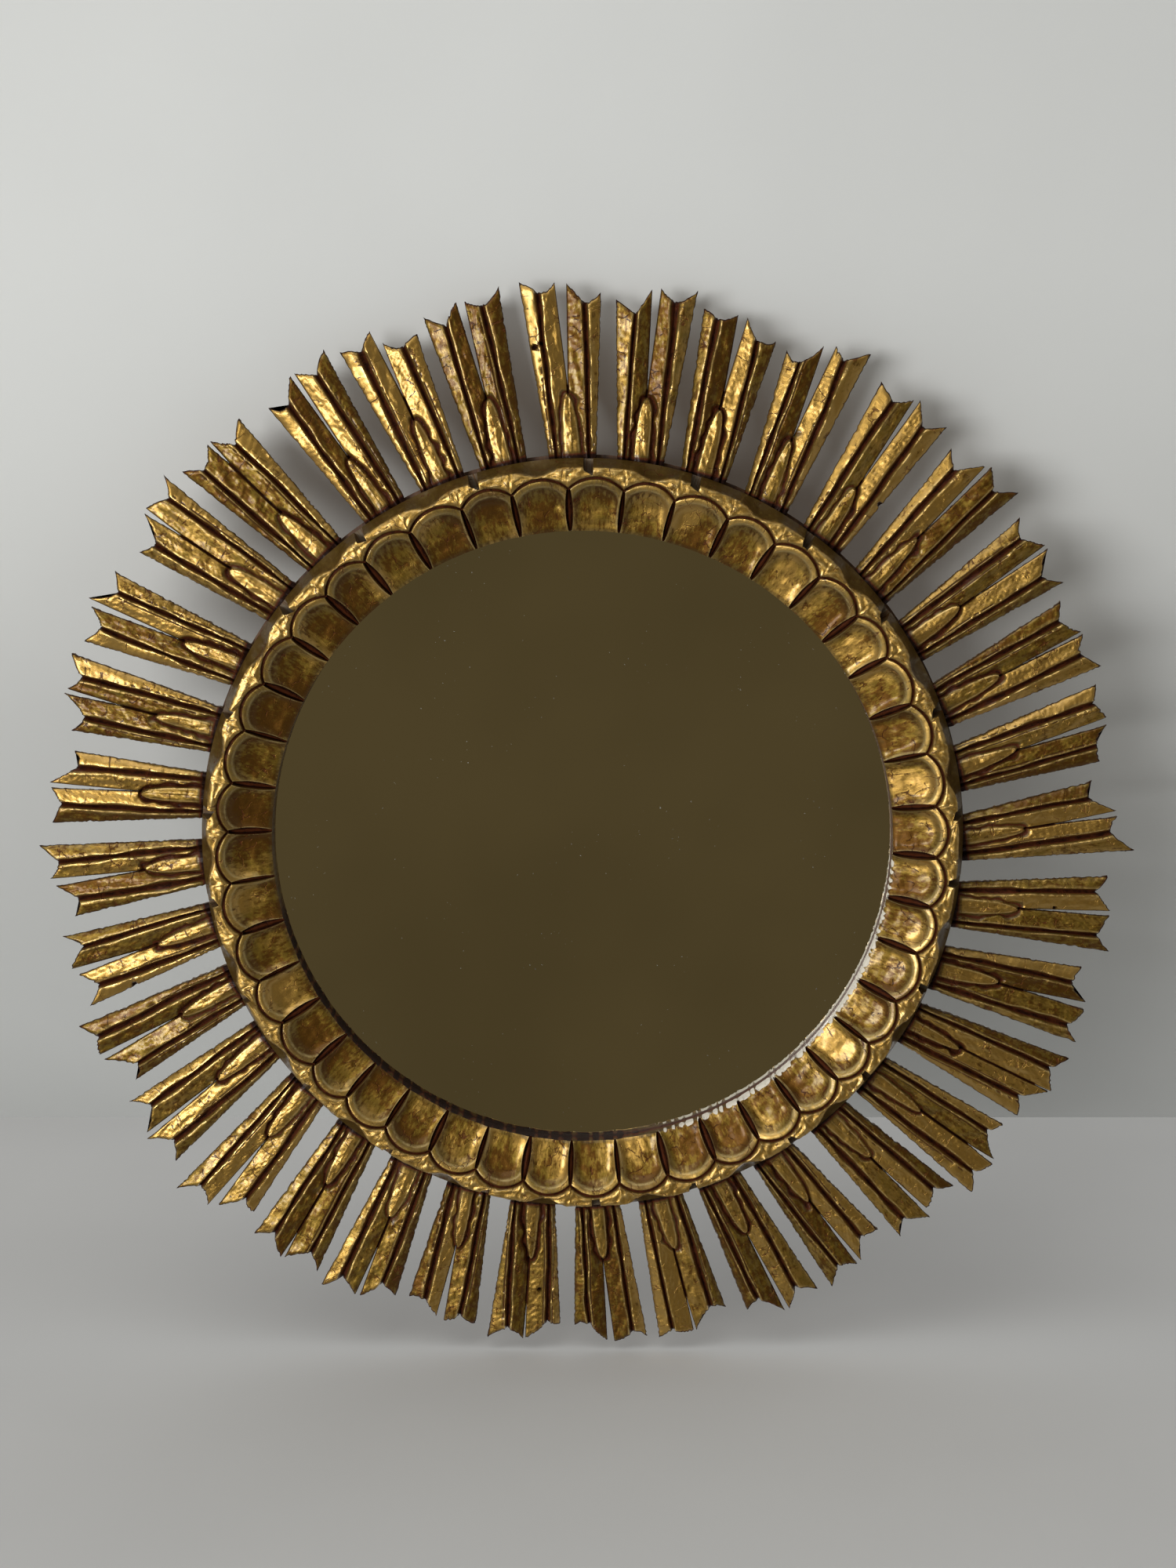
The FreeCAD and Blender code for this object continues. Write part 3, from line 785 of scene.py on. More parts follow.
    def finger(self, hand: int, tips: tuple[float, ...]) -> tuple[dict[str, Array], int]:
        """Lays one finger's grid.

        Rows run straight across up to the slot's start, and from there each column shares out what
        is left of it up to the slanted, notched end.

        Args:
            hand: 0 for the left finger, 1 for the right one.
            tips: shares along of the outer point, the notch and the inner point.

        Returns:
            Grids of the share along, the distance from the middle line, the lobe, the place in it
            from 0 at the groove to 1 at its edge, and distances to the groove, side, slot and tip,
            and the number of rows below the slot.
        """
        outer, notch, inner = tips
        beside, rest, second = self.columns()
        one = np.array(1.0)
        tip_width = np.where(second, self.groove(hand, one) - self.slot_width / 2,
                             self.width(one) / 2 - self.groove(hand, one))
        reach = self.away(beside, rest, tip_width) / tip_width
        bow = self.bows[hand][second.astype(int)] * 4 * reach * (1 - reach)
        jag = np.abs(ripple(self.rng, reach * 7 + second * 7, np.zeros_like(reach), 2.2))
        bow = bow - jag * self.notch_jag
        end = notch + (np.where(second, inner, outer) - notch) * reach + bow / self.length
        base = np.minimum(self.slot_share, end - 0.04)

        start = -self.tenon / self.length
        low_rows = max(8, round((self.slot_share - start) * self.length / self.row_step))
        high_rows = max(6, round((0.95 - self.slot_share) * self.length / self.row_step))
        low = start + (base - start) * np.linspace(0, 1, low_rows + 1)[:, None]
        high = base + (end - base) * np.linspace(0, 1, high_rows + 1)[1:, None]
        share = np.concatenate([low, high])

        along, level = share * self.length, np.zeros_like(share)
        side = self.width(share) / 2
        side = side - self.side_rough * np.abs(ripple(self.rng, along, level, 5.0))
        wander = self.groove_wander * ripple(self.rng, along, level, 34.0)
        groove = self.groove(hand, share) + wander
        gap = self.slot_half(share)
        lobe_width = np.where(second, groove - gap, side - groove)
        from_groove = self.away(beside, rest, lobe_width)
        across = np.where(second, groove - from_groove, groove + from_groove)
        grid = {"share": share, "across": across, "second": second + level,
                "in_lobe": from_groove / lobe_width, "to_groove": from_groove,
                "tight": np.clip((side - groove) / (2 * self.near[-1]), 0.3, 1),
                "to_side": side - across, "to_slot": across - gap,
                "to_tip": (end - share) * self.length}
        return grid, low_rows

    def to_tongue(self, across: Array, along: Array) -> Array:
        """Distance to the tongue's lancet outline.

        The outline is where (across / half width) squared plus (along / length) to the tongue's own
        power is 1, and the distance is that sum less 1, over the length of its gradient.

        Args:
            across: millimetres right of the blade's middle line.
            along: millimetres from the ring.

        Returns:
            Millimetres, negative inside the outline.
        """
        up = np.clip(along, 0, None) / self.tongue_end
        aside = across - self.tongue_drift * up ** 2
        power = self.tongue_power
        value = (aside / self.tongue_half) ** 2 + up ** power - 1
        slope = np.hypot(2 * aside / self.tongue_half ** 2,
                         power * up ** (power - 1) / self.tongue_end)
        return np.clip(value / np.maximum(slope, 0.12), -3, 9)

    def holes(self, across: Array, along: Array) -> Array:
        """How far each point lies in one of the ray's worm holes.

        Args:
            across: millimetres right of the blade's middle line.
            along: millimetres from the ring.

        Returns:
            0 outside to 1 well inside.
        """
        hole = np.zeros_like(across)
        for number, share_across, share_along, radius in RAY_HOLES:
            if number == self.number:
                hole_x = (share_across - 0.5) * self.width(np.array(share_along))
                reach = np.hypot(across - hole_x, along - share_along * self.length)
                hole = np.maximum(hole, smooth(-reach, -radius * 1.2, -radius * 0.6))
        return hole

    def carve(self, hand: int, grid: dict[str, Array]) -> tuple[Array, dict[str, Array]]:
        """Carves one finger's front.

        The drop below the flat blade adds up the two slopes of the roof, the V groove and its soft
        lip, rounded edges at the side, tip and slot, the ditch round the tongue, the saw line from
        the tongue to the slot, a second score line, worm holes and the tool's unevenness.

        Args:
            hand: 0 for the left finger, 1 for the right one.
            grid: what finger() laid.

        Returns:
            Depth of the front, and the finish attributes.
        """
        share, to_groove = grid["share"], grid["to_groove"]
        to_side, to_tip, tight = grid["to_side"], grid["to_tip"], grid["tight"]
        along, across = share * self.length, grid["across"] * (2 * hand - 1)
        level = np.zeros_like(along)
        lobe = grid["second"].astype(int)
        half = self.groove_halves[hand] * tight * (1 + 0.14 * ripple(self.rng, along, level, 22.0))
        vee = close(to_groove, half)
        lip = close(to_groove - half, self.lip_width) ** 2
        outline = self.to_tongue(across, along)
        reach = self.ditch_width * (1.2 - 0.4 * np.clip(along / self.tongue_end, 0, 1)) / 2
        reach = reach * (1 + 0.22 * ripple(self.rng, along, np.sign(across) * 9, 9.0))
        ditch = close(np.abs(outline - reach), reach + 0.1) * self.ditch_shares[hand]
        tongue = smooth(-outline, -0.1, 0.35)
        open_slot = share > self.slot_share
        sawn = close(np.abs(across), self.saw_half) * ((along > self.tongue_end) & ~open_slot)
        slot_lip = (close(grid["to_slot"], self.lip_width) * open_slot) ** 2
        side_edge = close(to_side, self.side_width) ** 2
        tip_edge = close(to_tip, self.tip_width) ** 2
        roof = self.falls[hand][lobe] * grid["in_lobe"] ** 1.15
        crown = self.tongue_crown + self.tongue_fall * (across / self.tongue_half) ** 2
        wave = self.wave_depth * ripple(self.rng, across, along * 0.45, 6.0)
        wave = wave + self.fine_depth * ripple(self.rng, across, along, 2.4)
        hole = self.holes(across, along)
        ending = self.scores[hand][lobe] - share + 0.15 * ripple(self.rng, along, level, 4.0)
        score = bell(to_groove - self.score_place, self.score_half) * smooth(ending, 0.0, 0.1)
        score = score * (1 - tongue) * tight
        drop = (self.skin + roof * (1 - tongue) + crown * tongue + self.groove_depth * vee ** 0.85
                + self.lip_depth * lip + self.ditch_depth * ditch + self.saw_depth * sawn
                + self.slot_round * slot_lip + self.side_round * side_edge
                + self.tip_round * tip_edge + wave + self.hole_depth * hole
                + self.score_depth * score)
        front = self.section.disc_front + self.thick
        front = front - (self.thick - self.tip_thick) * np.clip(share, 0, 1.1)

        # Painted shade at the root beside the ring: a little darker from 15 mm out, much darker
        # within the last 3.5 mm.
        root = 0.8 * smooth(-along, -3.5, -0.3) + 0.25 * smooth(-along, -15.0, -1.0)
        glaze = np.max([np.clip(1.7 * vee, 0, 0.88), np.clip(1.8 * ditch, 0, 0.86), hole, root,
                        np.clip(2 * sawn, 0, 0.9), 0.78 * score, 0.4 * side_edge], axis=0)
        worn = np.max([close(to_side, 0.8) ** 2, close(to_tip, 2.0), close(to_tip, 7.0) * 0.5,
                       np.sqrt(slot_lip), hole], axis=0)
        # Painted highlight: pale lines just inside the tongue's outline and just beyond each
        # groove's edge.
        rim = bell(outline + 0.4, 0.4) * (along > 0)
        rim = np.maximum(bell(to_groove - half - 0.25, 0.35), rim)
        tone = self.tones[hand][lobe] * (1 - tongue) + self.tongue_tone * tongue
        finish = (glaze, worn, tone, rim, level, level)
        return front - np.maximum(drop, 0.02), dict(zip(FINISH, finish))

    def place(self, across: Array, along: Array, depth: Array) -> Array:
        """Points of the mirror's frame.

        Args:
            across: millimetres right of the blade's middle line.
            along: millimetres from the ring.
            depth: millimetres forward.

        Returns:
            X, Y and Z in millimetres.
        """
        root_angle = math.radians(self.root_deg)
        tip_angle = math.radians(self.root_deg + self.lean_deg)
        reach = self.section.ring_r + self.length
        root = np.array([math.sin(root_angle), math.cos(root_angle)]) * self.section.ring_r
        tip = np.array([math.sin(tip_angle), math.cos(tip_angle)]) * reach
        line = (tip - root) / np.linalg.norm(tip - root)
        run = np.linalg.norm(tip - root) / self.length
        x = root[0] + line[0] * along * run + line[1] * across
        z = root[1] + line[1] * along * run - line[0] * across
        return np.stack(np.broadcast_arrays(x, -depth, z), axis=-1)

    def lay(self, mesh: Mesh, flat: Array, depth: Array, values: dict[str, Array]) -> Array:
        """Adds points of the ray, with UVs moved apart from the other rays'.

        Args:
            mesh: where the points go.
            flat: millimetres across and along.
            depth: millimetres forward.
            values: the finish attributes.

        Returns:
            The new vertex numbers.
        """
        uv = flat / MM_PER_CM + np.array(UV_STEP) * self.number
        return mesh.add(self.place(flat[..., 0], flat[..., 1], depth), uv, values)

    def sheet(self, mesh: Mesh, hand: int, tips: tuple[float, ...]) -> dict[str, Array]:
        """Adds one finger's front, its columns from left to right.

        Args:
            mesh: where the points go.
            hand: 0 for the left finger, 1 for the right one.
            tips: shares along of the outer point, the notch and the inner point.

        Returns:
            Grids of vertex numbers, flat places, depths and distances to the nearest corner, with
            the number of rows below the slot and the groove's column.
        """
        grid, low_rows = self.finger(hand, tips)
        depth, values = self.carve(hand, grid)
        across, along = grid["across"] * (2 * hand - 1), grid["share"] * self.length
        corner = np.maximum(np.minimum(grid["to_side"], grid["to_slot"]), grid["to_tip"])
        sheet = {"flat": np.stack([across, along], axis=-1), "depth": depth, "corner": corner}
        groove_column = len(self.outer_shares) + len(self.near) - 1
        if hand:
            sheet = {name: value[:, ::-1] for name, value in sheet.items()}
            values = {name: value[:, ::-1] for name, value in values.items()}
            groove_column = across.shape[1] - 1 - groove_column
        sheet["index"] = self.lay(mesh, sheet["flat"], sheet["depth"], values)
        sheet["low_rows"], sheet["groove_column"] = low_rows, groove_column
        return sheet

    def walls(self, mesh: Mesh, border: dict[str, Array]) -> Array:
        """Adds the chipped walls from the front's border to the level of the disc's front.

        Args:
            mesh: where the front already is.
            border: vertex numbers, flat places, depths and corner distances round the front.

        Returns:
            The vertex number at the back for each vertex number of the front, -1 off the border.
        """
        flat, depth, loop = border["flat"], border["depth"], border["index"]
        ahead = np.roll(flat, -1, axis=0) - np.roll(flat, 1, axis=0)
        outward = np.stack([ahead[:, 1], -ahead[:, 0]], axis=1)
        outward /= np.maximum(np.linalg.norm(outward, axis=1, keepdims=True), 1e-6)
        free = np.clip(border["corner"] / self.corner_reach, 0, 1)
        levels = [loop]
        for share, inward, bare in WALL_LEVELS:
            rough = self.wall_rough * ripple(self.rng, flat[:, 0], flat[:, 1], 3.0)
            rough = rough - self.wall_rough
            ring = flat + outward * ((rough - inward) * free)[:, None]
            values = dict(zip(FINISH, (0.55, 0.5 * (1 - bare), 0.2, 0.0, 0.0, bare)))
            level = depth + (self.section.disc_front - depth) * share
            levels.append(self.lay(mesh, ring, level, values))
        mesh.quads(looped(np.stack(levels), 1)[::-1])
        deep = np.full(mesh.count, -1)
        deep[loop] = levels[-1]
        return deep

    def back(self, mesh: Mesh, left: dict[str, Array], right: dict[str, Array],
             deep: Array) -> None:
        """Closes the back with strips from side to groove, groove to groove and groove to slot.

        Args:
            mesh: where the front and the walls already are.
            left: the left finger's sheet.
            right: the right finger's sheet.
            deep: the back's vertex number for each of the front's border.
        """
        def groove_line(sheet: dict[str, Array]) -> Array:
            """The back's vertices behind a sheet's groove; those off the border are new."""
            column = sheet["groove_column"]
            inside = sheet["flat"][1:-1, column]
            level = np.full(len(inside), self.section.disc_front)
            new = self.lay(mesh, inside, level, {name: float(name == "bare") for name in FINISH})
            ends = deep[sheet["index"][[0, -1], column]]
            return np.concatenate([ends[:1], new, ends[1:]])

        def face(*parts: Sequence[int]) -> None:
            """Adds a face round vertices given counterclockwise as seen from the front."""
            mesh.face(np.concatenate([np.atleast_1d(part) for part in parts])[::-1])

        low, top = left["low_rows"], len(left["index"]) - 1
        last = top - 3
        index, index_2 = left["index"], right["index"]
        side, middle, end = deep[index[:, 0]], deep[index[:, -1]], deep[index[-1]]
        side_2, middle_2, end_2 = deep[index_2[:, -1]], deep[index_2[:, 0]], deep[index_2[-1]]
        groove, groove_2 = groove_line(left), groove_line(right)
        middle_2[low] = middle[low]

        face(deep[index[0]], deep[index_2[0, 1:]], side_2[1], groove_2[1], groove[1], side[1])
        for row in range(1, last):
            up = row + 1
            face(side[row], groove[row], groove[up], side[up])
            face(groove_2[row], side_2[row], side_2[up], groove_2[up])
            if row < low - 1:
                face(groove[row], groove_2[row], groove_2[up], groove[up])
            elif row == low - 1:
                face(groove[row], groove_2[row], groove_2[up], middle[up], groove[up])
            else:
                face(groove[row], middle[row], middle[up], groove[up])
                face(middle_2[row], groove_2[row], groove_2[up], middle_2[up])
        cut, cut_2 = left["groove_column"], right["groove_column"]
        face(side[last], groove[last], end[cut::-1], side[last + 1:top][::-1])
        face(groove[last], middle[last:top], end[:cut - 1:-1])
        face(middle_2[last], groove_2[last], end_2[cut_2::-1], middle_2[last + 1:top][::-1])
        face(groove_2[last], side_2[last:top], end_2[:cut_2 - 1:-1])

    def build(self) -> bpy.types.Object:
        """Makes the ray's closed mesh.

        Returns:
            The ray.
        """
        mesh = Mesh()
        left = self.sheet(mesh, 0, self.tips[:3])
        right = self.sheet(mesh, 1, self.tips[:2:-1])
        low = left["low_rows"]
        right["index"][:low + 1, 0] = left["index"][:low + 1, -1]
        mesh.quads(left["index"])
        mesh.quads(right["index"])

        def border(name: str) -> Array:
            """One value round the front's border, counterclockwise as seen from the front."""
            one, two = left[name], right[name]
            return np.concatenate([
                one[0], two[0, 1:], two[1:, -1], two[-1, -2::-1], two[-2:low:-1, 0],
                one[low:, -1], one[-1, -2::-1], one[-2:0:-1, 0]])

        around = {name: border(name) for name in ("index", "flat", "depth", "corner")}
        self.back(mesh, left, right, self.walls(mesh, around))
        return mesh.finish("carved_ray_%02d" % self.number)


class Column(IntEnum):
    """The columns of a scallop, from the dart on its left to the wall of the dart on its right."""

    DART = 0
    LEFT_WALL = 1
    LEFT_ARRIS = 2
    HOLLOW = 3
    RIGHT_ARRIS = 4
    RIGHT_WALL = 5


# Places of the hollow's columns from its middle to its edge, as shares of its half width
HOLLOW_SHARES = (0.08, 0.155, 0.17, 0.24, 0.34, 0.45, 0.56, 0.66, 0.75, 0.83, 0.9, 0.95, 0.985)

# How far each notch stands from its crown, in degrees, from the crown at the right clockwise
NOTCH_SHIFT_DEG = (-0.4, 0.6, 0.5, -0.6, 0.8, -0.1, 1.6, 1.8, 2.0, 2.5, 1.7,
                   -1.3, -2.6, -1.4, -2.6, -1.1, -1.3, -2.1, -0.5, -1.6, -1.7, -2.6)

# The groove round each crown: millimetres beyond the crown's outline, depth, and glaze
CROWN_GROOVE = ((-0.4, 1.3, 0.8), (0.35, 1.5, 0.88))


@dataclass
class CarvedRing:
    """The ring: scallops with painted highlights on their crowns and arrises, darts between them,
    lands, coves and a notched band.

    Sizes are in millimetres, and a name in _r is a distance from the mirror's middle. The three
    arcs of the lip's wear give its start, its end and its fade in degrees.
    """

    section: Section
    sight_r: float = 144.5
    rebate_r: float = 152.0
    step_r: float = 164.0
    crown_r: float = 169.0
    land_r: float = 173.6
    lip_front: float = 15.3
    crown_front: float = 24.2
    step_rise: float = 8.2
    scallops: int = 43
    start_deg: float = 94.0
    drift_deg: float = 2.0
    uneven_deg: float = 0.28
    crown_arc: float = 15.7
    hollow_top_r: float = 166.1
    hollow_full_r: float = 160.0
    hollow_arc: float = 13.2
    hollow_side: float = 10.5
    hollow_taper: float = 0.06
    hollow_shoulder: float = 0.9
    hollow_depth: float = 2.7
    hollow_lip_depth: float = 0.9
    hollow_wall: float = 4.2
    dart_low_r: float = 143.5
    dart_high_r: float = 165.5
    dart_half: float = 1.8
    dart_least: float = 0.12
    dart_depth: float = 3.6
    dart_step: float = 0.78
    wall_share: float = 0.35
    line_half: float = 0.85
    notch_r: float = 170.2
    notch_half_share: float = 0.16
    notch_wall: float = 0.12
    notch_floor: float = 0.06
    notch_edge: float = 0.4
    notch_most_share: float = 0.6
    cove_depth: float = 3.0
    cove_share: float = 0.9
    cove_dip: float = 0.9
    cove_inward: float = 0.5
    cove_hollow: float = 1.6
    settle_r: float = 168.0
    skin: float = 0.12
    wave_depth: float = 0.07
    fine_depth: float = 0.018
    edge_start: float = 0.5
    edge_width: float = 1.1
    edge_round: float = 0.45
    lip_width: float = 1.6
    lip_round: float = 0.5
    lip_lean: float = 0.25
    chip_back: float = 0.5
    land_skin: float = 0.55
    land_least: float = 0.02
    land_edge_width: float = 1.0
    land_start_round: float = 0.7
    land_end_round: float = 0.6
    lump_depth: float = 0.20
    pit_depth: float = 0.12
    land_wave_r: float = 170.0
    band_drop: float = 1.0
    band_length: float = 9.0
    band_wave: float = 0.18
    band_skin: float = 0.2
    uv_r: float = 160.0
    dart_sizes: tuple[float, float] = (0.6, 1.25)
    dart_fade_r: tuple[float, float] = (143.0, 147.0)
    arch_highlight_r: tuple[float, float] = (156.0, 163.0)
    gesso_arc: tuple[float, float, float] = (97.0, 160.0, 9.0)
    black_arc: tuple[float, float, float] = (178.0, 252.0, 12.0)
    grey_arc: tuple[float, float, float] = (268.0, 372.0, 18.0)
    hollow_rows: int = 38
    land_rows: int = 8
    band_rows: int = 7

    def __post_init__(self) -> None:
        """Sets out the darts, the columns, the notches and the lands' outer edge."""
        self.rng = np.random.default_rng(SEED)
        self.made: list[dict[str, Array]] = []
        nominal = self.start_deg + 360 * np.arange(-1, self.scallops + 1) / self.scallops
        centres = nominal + self.drift_deg * np.sin(np.radians(nominal))
        darts = (centres[:-1] + centres[1:]) / 2
        uneven = self.rng.uniform(-self.uneven_deg, self.uneven_deg, self.scallops)
        darts = darts + np.append(uneven, uneven[0])
        self.centre = np.radians((darts[1:] + darts[:-1]) / 2)[:, None]
        self.half = np.radians((darts[1:] - darts[:-1]) / 2)[:, None]
        inner = np.array(HOLLOW_SHARES)
        inner = np.concatenate([-inner[::-1], [0.0], inner])
        self.kind = np.repeat(list(Column), [1, 1, 1, len(inner), 1, 1])[None, :]
        self.share = np.concatenate([[-1, -1, -1], inner, [1, 1]])[None, :]
        self.shape = (self.scallops, self.kind.size)
        self.dart_size = self.rng.uniform(*self.dart_sizes, self.scallops)[:, None]
        self.even = (np.arange(self.scallops) % 2 == 0)[:, None]
        shifts = np.zeros((self.scallops, 1))
        shifts[::2, 0] = NOTCH_SHIFT_DEG
        most = self.notch_most_share
        shift = np.clip(np.radians(shifts) / self.half, -most, most)
        hollow = self.kind == Column.HOLLOW
        self.notch = self.even & (np.abs(self.share) < self.notch_half_share) & hollow

        self.settled = self.across(np.full(self.shape, self.settle_r))
        self.moved = self.settled + shift * np.clip((1 - np.abs(self.settled)) / 0.8, 0, 1)
        self.crown = self.crown_line(self.settled)
        cove_place = np.clip(np.abs(self.settled) / self.cove_share, 0, 1)
        self.cove = np.where(self.even, 0.0, (1 + np.cos(math.pi * cove_place)) / 2)
        self.edge_r = np.where(self.notch, self.notch_r, self.land_r - self.cove_depth * self.cove)

    def dart_width(self, radius: Array) -> Array:
        """Half width of the dart beside each column, a lens from the lip to the crowns."""
        size = np.where(self.kind >= Column.RIGHT_ARRIS, np.roll(self.dart_size, -1, axis=0),
                        self.dart_size)
        up = (radius - self.dart_low_r) / (self.dart_high_r - self.dart_low_r)
        lens = np.sin(math.pi * np.clip(up, 0, 1)) ** 0.6
        return self.dart_half * size * lens + self.dart_least

    def across(self, radius: Array) -> Array:
        """Place of each column in its scallop, from -1 at one dart to 1 at the next."""
        edge = 1 - self.dart_width(radius) / (radius * self.half)
        wall = edge + self.wall_share * (1 - edge)
        places = [-np.ones_like(edge), -wall, -edge, self.share * edge, edge, wall]
        return np.select([self.kind == kind for kind in Column], places)

    def crown_line(self, place: Array) -> Array:
        """Radius of the crown's outline: where the line at a place meets the crown's circle."""
        angle = place * math.pi / self.scallops
        middle = self.crown_r - self.crown_arc
        root = np.sqrt(self.crown_arc ** 2 - (middle * np.sin(angle)) ** 2)
        return middle * np.cos(angle) + root

    def slope(self, radius: Array) -> Array:
        """Depth of the chiselled slope at a radius."""
        rise = (self.crown_front - self.lip_front) / (self.crown_r - self.sight_r)
        return self.lip_front + (radius - self.sight_r) * rise

    def wave(self, theta: Array, along: Array, length: float, radius: float = 160.0) -> Array:
        """Unevenness over the arc at a radius and another coordinate, alike for every row."""
        return ripple(np.random.default_rng(SEED + 1), theta * radius, along, length)

    def arc(self, theta: Array, start: float, end: float, fade: float) -> Array:
        """1 on the arc from start to end degrees, going down to 0 over the fade beyond it."""
        away = np.abs((np.degrees(theta) - (start + end) / 2 + 180) % 360 - 180)
        return 1 - smooth(away, (end - start) / 2, (end - start) / 2 + fade)

    def hollow(self, radius: Array, place: Array) -> tuple[Array, Array]:
        """The thumb-shaped hollow in the slope.

        The lesser of the distances to the arch and to the side is taken, with a soft shoulder
        between them. Inside it the drop grows as 1 - (1 - inside / wall) squared.

        Args:
            radius: distance from the mirror's middle.
            place: place in the scallop.

        Returns:
            Depth below the slope, and how far a point is inside the hollow.
        """
        angle = place * math.pi / self.scallops
        x, z = radius * np.sin(angle), radius * np.cos(angle)
        middle = self.hollow_top_r - self.hollow_arc
        arch = self.hollow_arc - np.hypot(x, np.clip(z - middle, 0, None))
        taper = self.hollow_taper * np.clip(self.hollow_full_r - z, 0, None)
        side = self.hollow_side - taper - np.abs(x)
        inside = -self.hollow_shoulder * np.logaddexp(-arch / self.hollow_shoulder,
                                                      -side / self.hollow_shoulder)
        full = self.hollow_lip_depth + (self.hollow_depth - self.hollow_lip_depth) * smooth(
            radius, self.sight_r - 1.0, self.hollow_full_r)
        return full * (1 - (1 - np.clip(inside / self.hollow_wall, 0, 1)) ** 2), inside

    def front_of(self, radius: Array) -> dict[str, Array]:
        """The carved front inside the crown's outline: slope, hollow, dart and crown edge.

        Args:
            radius: distance of each column from the mirror's middle.

        Returns:
            What row() takes.
        """
        place = self.across(radius)
        theta = self.centre + place * self.half
        drop, inside = self.hollow(radius, place)
        wall = (self.kind == Column.LEFT_WALL) | (self.kind == Column.RIGHT_WALL)
        dart = np.where(self.kind == Column.DART, self.dart_step, wall * 1.0)
        fade = smooth(radius, *self.dart_fade_r) * 0.5 + 0.5
        dart_drop = dart * self.dart_depth * np.clip(self.dart_width(radius), 0.25, 1.0) * fade
        edge = close(self.crown_line(place) - radius - self.edge_start, self.edge_width) ** 2
        wave = self.wave_depth * self.wave(theta, radius, 7.0)
        wave = wave + self.fine_depth * self.wave(theta, radius, 2.6)
        depth = self.slope(radius) - drop - dart_drop - self.edge_round * edge - self.skin
        depth = depth + wave * (1 - dart)
        rim = smooth(-inside, -0.7, 0.3) * (1 - dart)
        arris = (self.kind == Column.LEFT_ARRIS) | (self.kind == Column.RIGHT_ARRIS)
        sharp = arris | (np.abs(self.share) == HOLLOW_SHARES[-1])
        dark = np.select([dart > 0.9, dart > 0, arris], [1.0, 0.72, 0.25], 0.0)
        low = np.clip((self.rebate_r - radius) / 9.0, 0, 1)
        stain = low * np.clip(0.12 + 0.3 * self.wave(theta, radius, 5.0), 0, 0.4)
        # Painted highlight: the pale attribute lightens a thin line along the hollow's arch, the
        # crown round the hollow and the arrises.
        arch_highlight = bell(inside - 0.35, 0.4) * smooth(radius, *self.arch_highlight_r) * (1 - dart)
        tone = 0.30 + 0.26 * self.wave(theta, radius * 0.02, 1.1, 7.0) + 0.2 * rim
        level = np.zeros(self.shape)
        return {"radius": radius, "depth": depth, "place": place,
                "glaze": np.max([dark + level, 0.45 * edge ** 3, stain], axis=0),
                "worn": 0.2 * edge, "tone": tone,
                "pale": np.max([0.9 * arch_highlight, 0.25 * rim, 0.6 * sharp + level], axis=0)}

    def row(self, radius: Array | float, depth: Array | float, place: Array | None = None,
            **values: Array | float) -> None:
        """Adds one row.

        Args:
            radius: distance from the mirror's middle.
            depth: millimetres forward.
            place: place of each column in its scallop, if not beside the darts.
            values: finish attributes; those that aren't given are zero.
        """
        radius = np.broadcast_to(np.asarray(radius, float), self.shape)
        item = {"radius": radius, "depth": np.broadcast_to(np.asarray(depth, float), self.shape),
                "place": self.across(radius) if place is None else place}
        for name in FINISH:
            item[name] = np.broadcast_to(np.asarray(values.get(name, 0.0), float), self.shape)
        self.made.append(item)

    def add_front(self) -> None:
        """Adds the rebate, the lip with its wear, and the front up to the crowns."""
        back, glass = self.section.disc_front, self.section.glass_front
        sight = np.full(self.shape, self.sight_r)
        theta = self.centre + self.across(sight) * self.half
        level = np.zeros(self.shape)
        chip = ripple(self.rng, theta * 30, level, 0.55)
        gesso = np.clip(self.arc(theta, *self.gesso_arc) * (0.75 + 0.35 * chip), 0, 1)
        ragged = ripple(self.rng, theta * 40, level, 0.8)
        black = self.arc(theta, *self.black_arc) * np.clip(0.85 + 0.6 * ragged, 0, 1)
        grey = self.arc(theta, *self.grey_arc)
        lip_r = sight + self.chip_back * gesso * (0.5 + 0.5 * chip)

        self.row(self.rebate_r, back, bare=1.0)
        self.row(self.rebate_r, glass, bare=1.0)
        self.row(sight, glass, glaze=1.0 - grey, worn=0.6 * (1 - grey), bare=0.8 * grey)
        rise = self.front_of(lip_r)["depth"] - self.lip_round - glass
        for share in (0.12, 0.4, 0.7, 0.92):
            self.row(sight + self.lip_lean * share, glass + rise * share, tone=0.3,
                     worn=0.3 * share + 0.5 * black,
                     glaze=np.clip((0.8 - 0.6 * share) * (1 - grey) + black, 0, 1),
                     bare=grey * 0.85 * (1 - share ** 3), gesso=gesso * smooth(share, 0.2, 0.5))
        for share in np.linspace(0, 1, self.hollow_rows) ** 0.94:
            radius = lip_r
            for _ in range(3):
                end = self.crown_line(self.across(radius)) - self.line_half
                radius = lip_r + (end - lip_r) * share
            item = self.front_of(radius)
            near_lip = close(radius - lip_r, self.lip_width)
            item["depth"] = item["depth"] - self.lip_round * near_lip ** 2
            item["gesso"] = gesso * smooth(near_lip, 0.1, 0.8)
            item["worn"] = np.maximum(item["worn"], 0.55 * near_lip)
            self.row(**item)

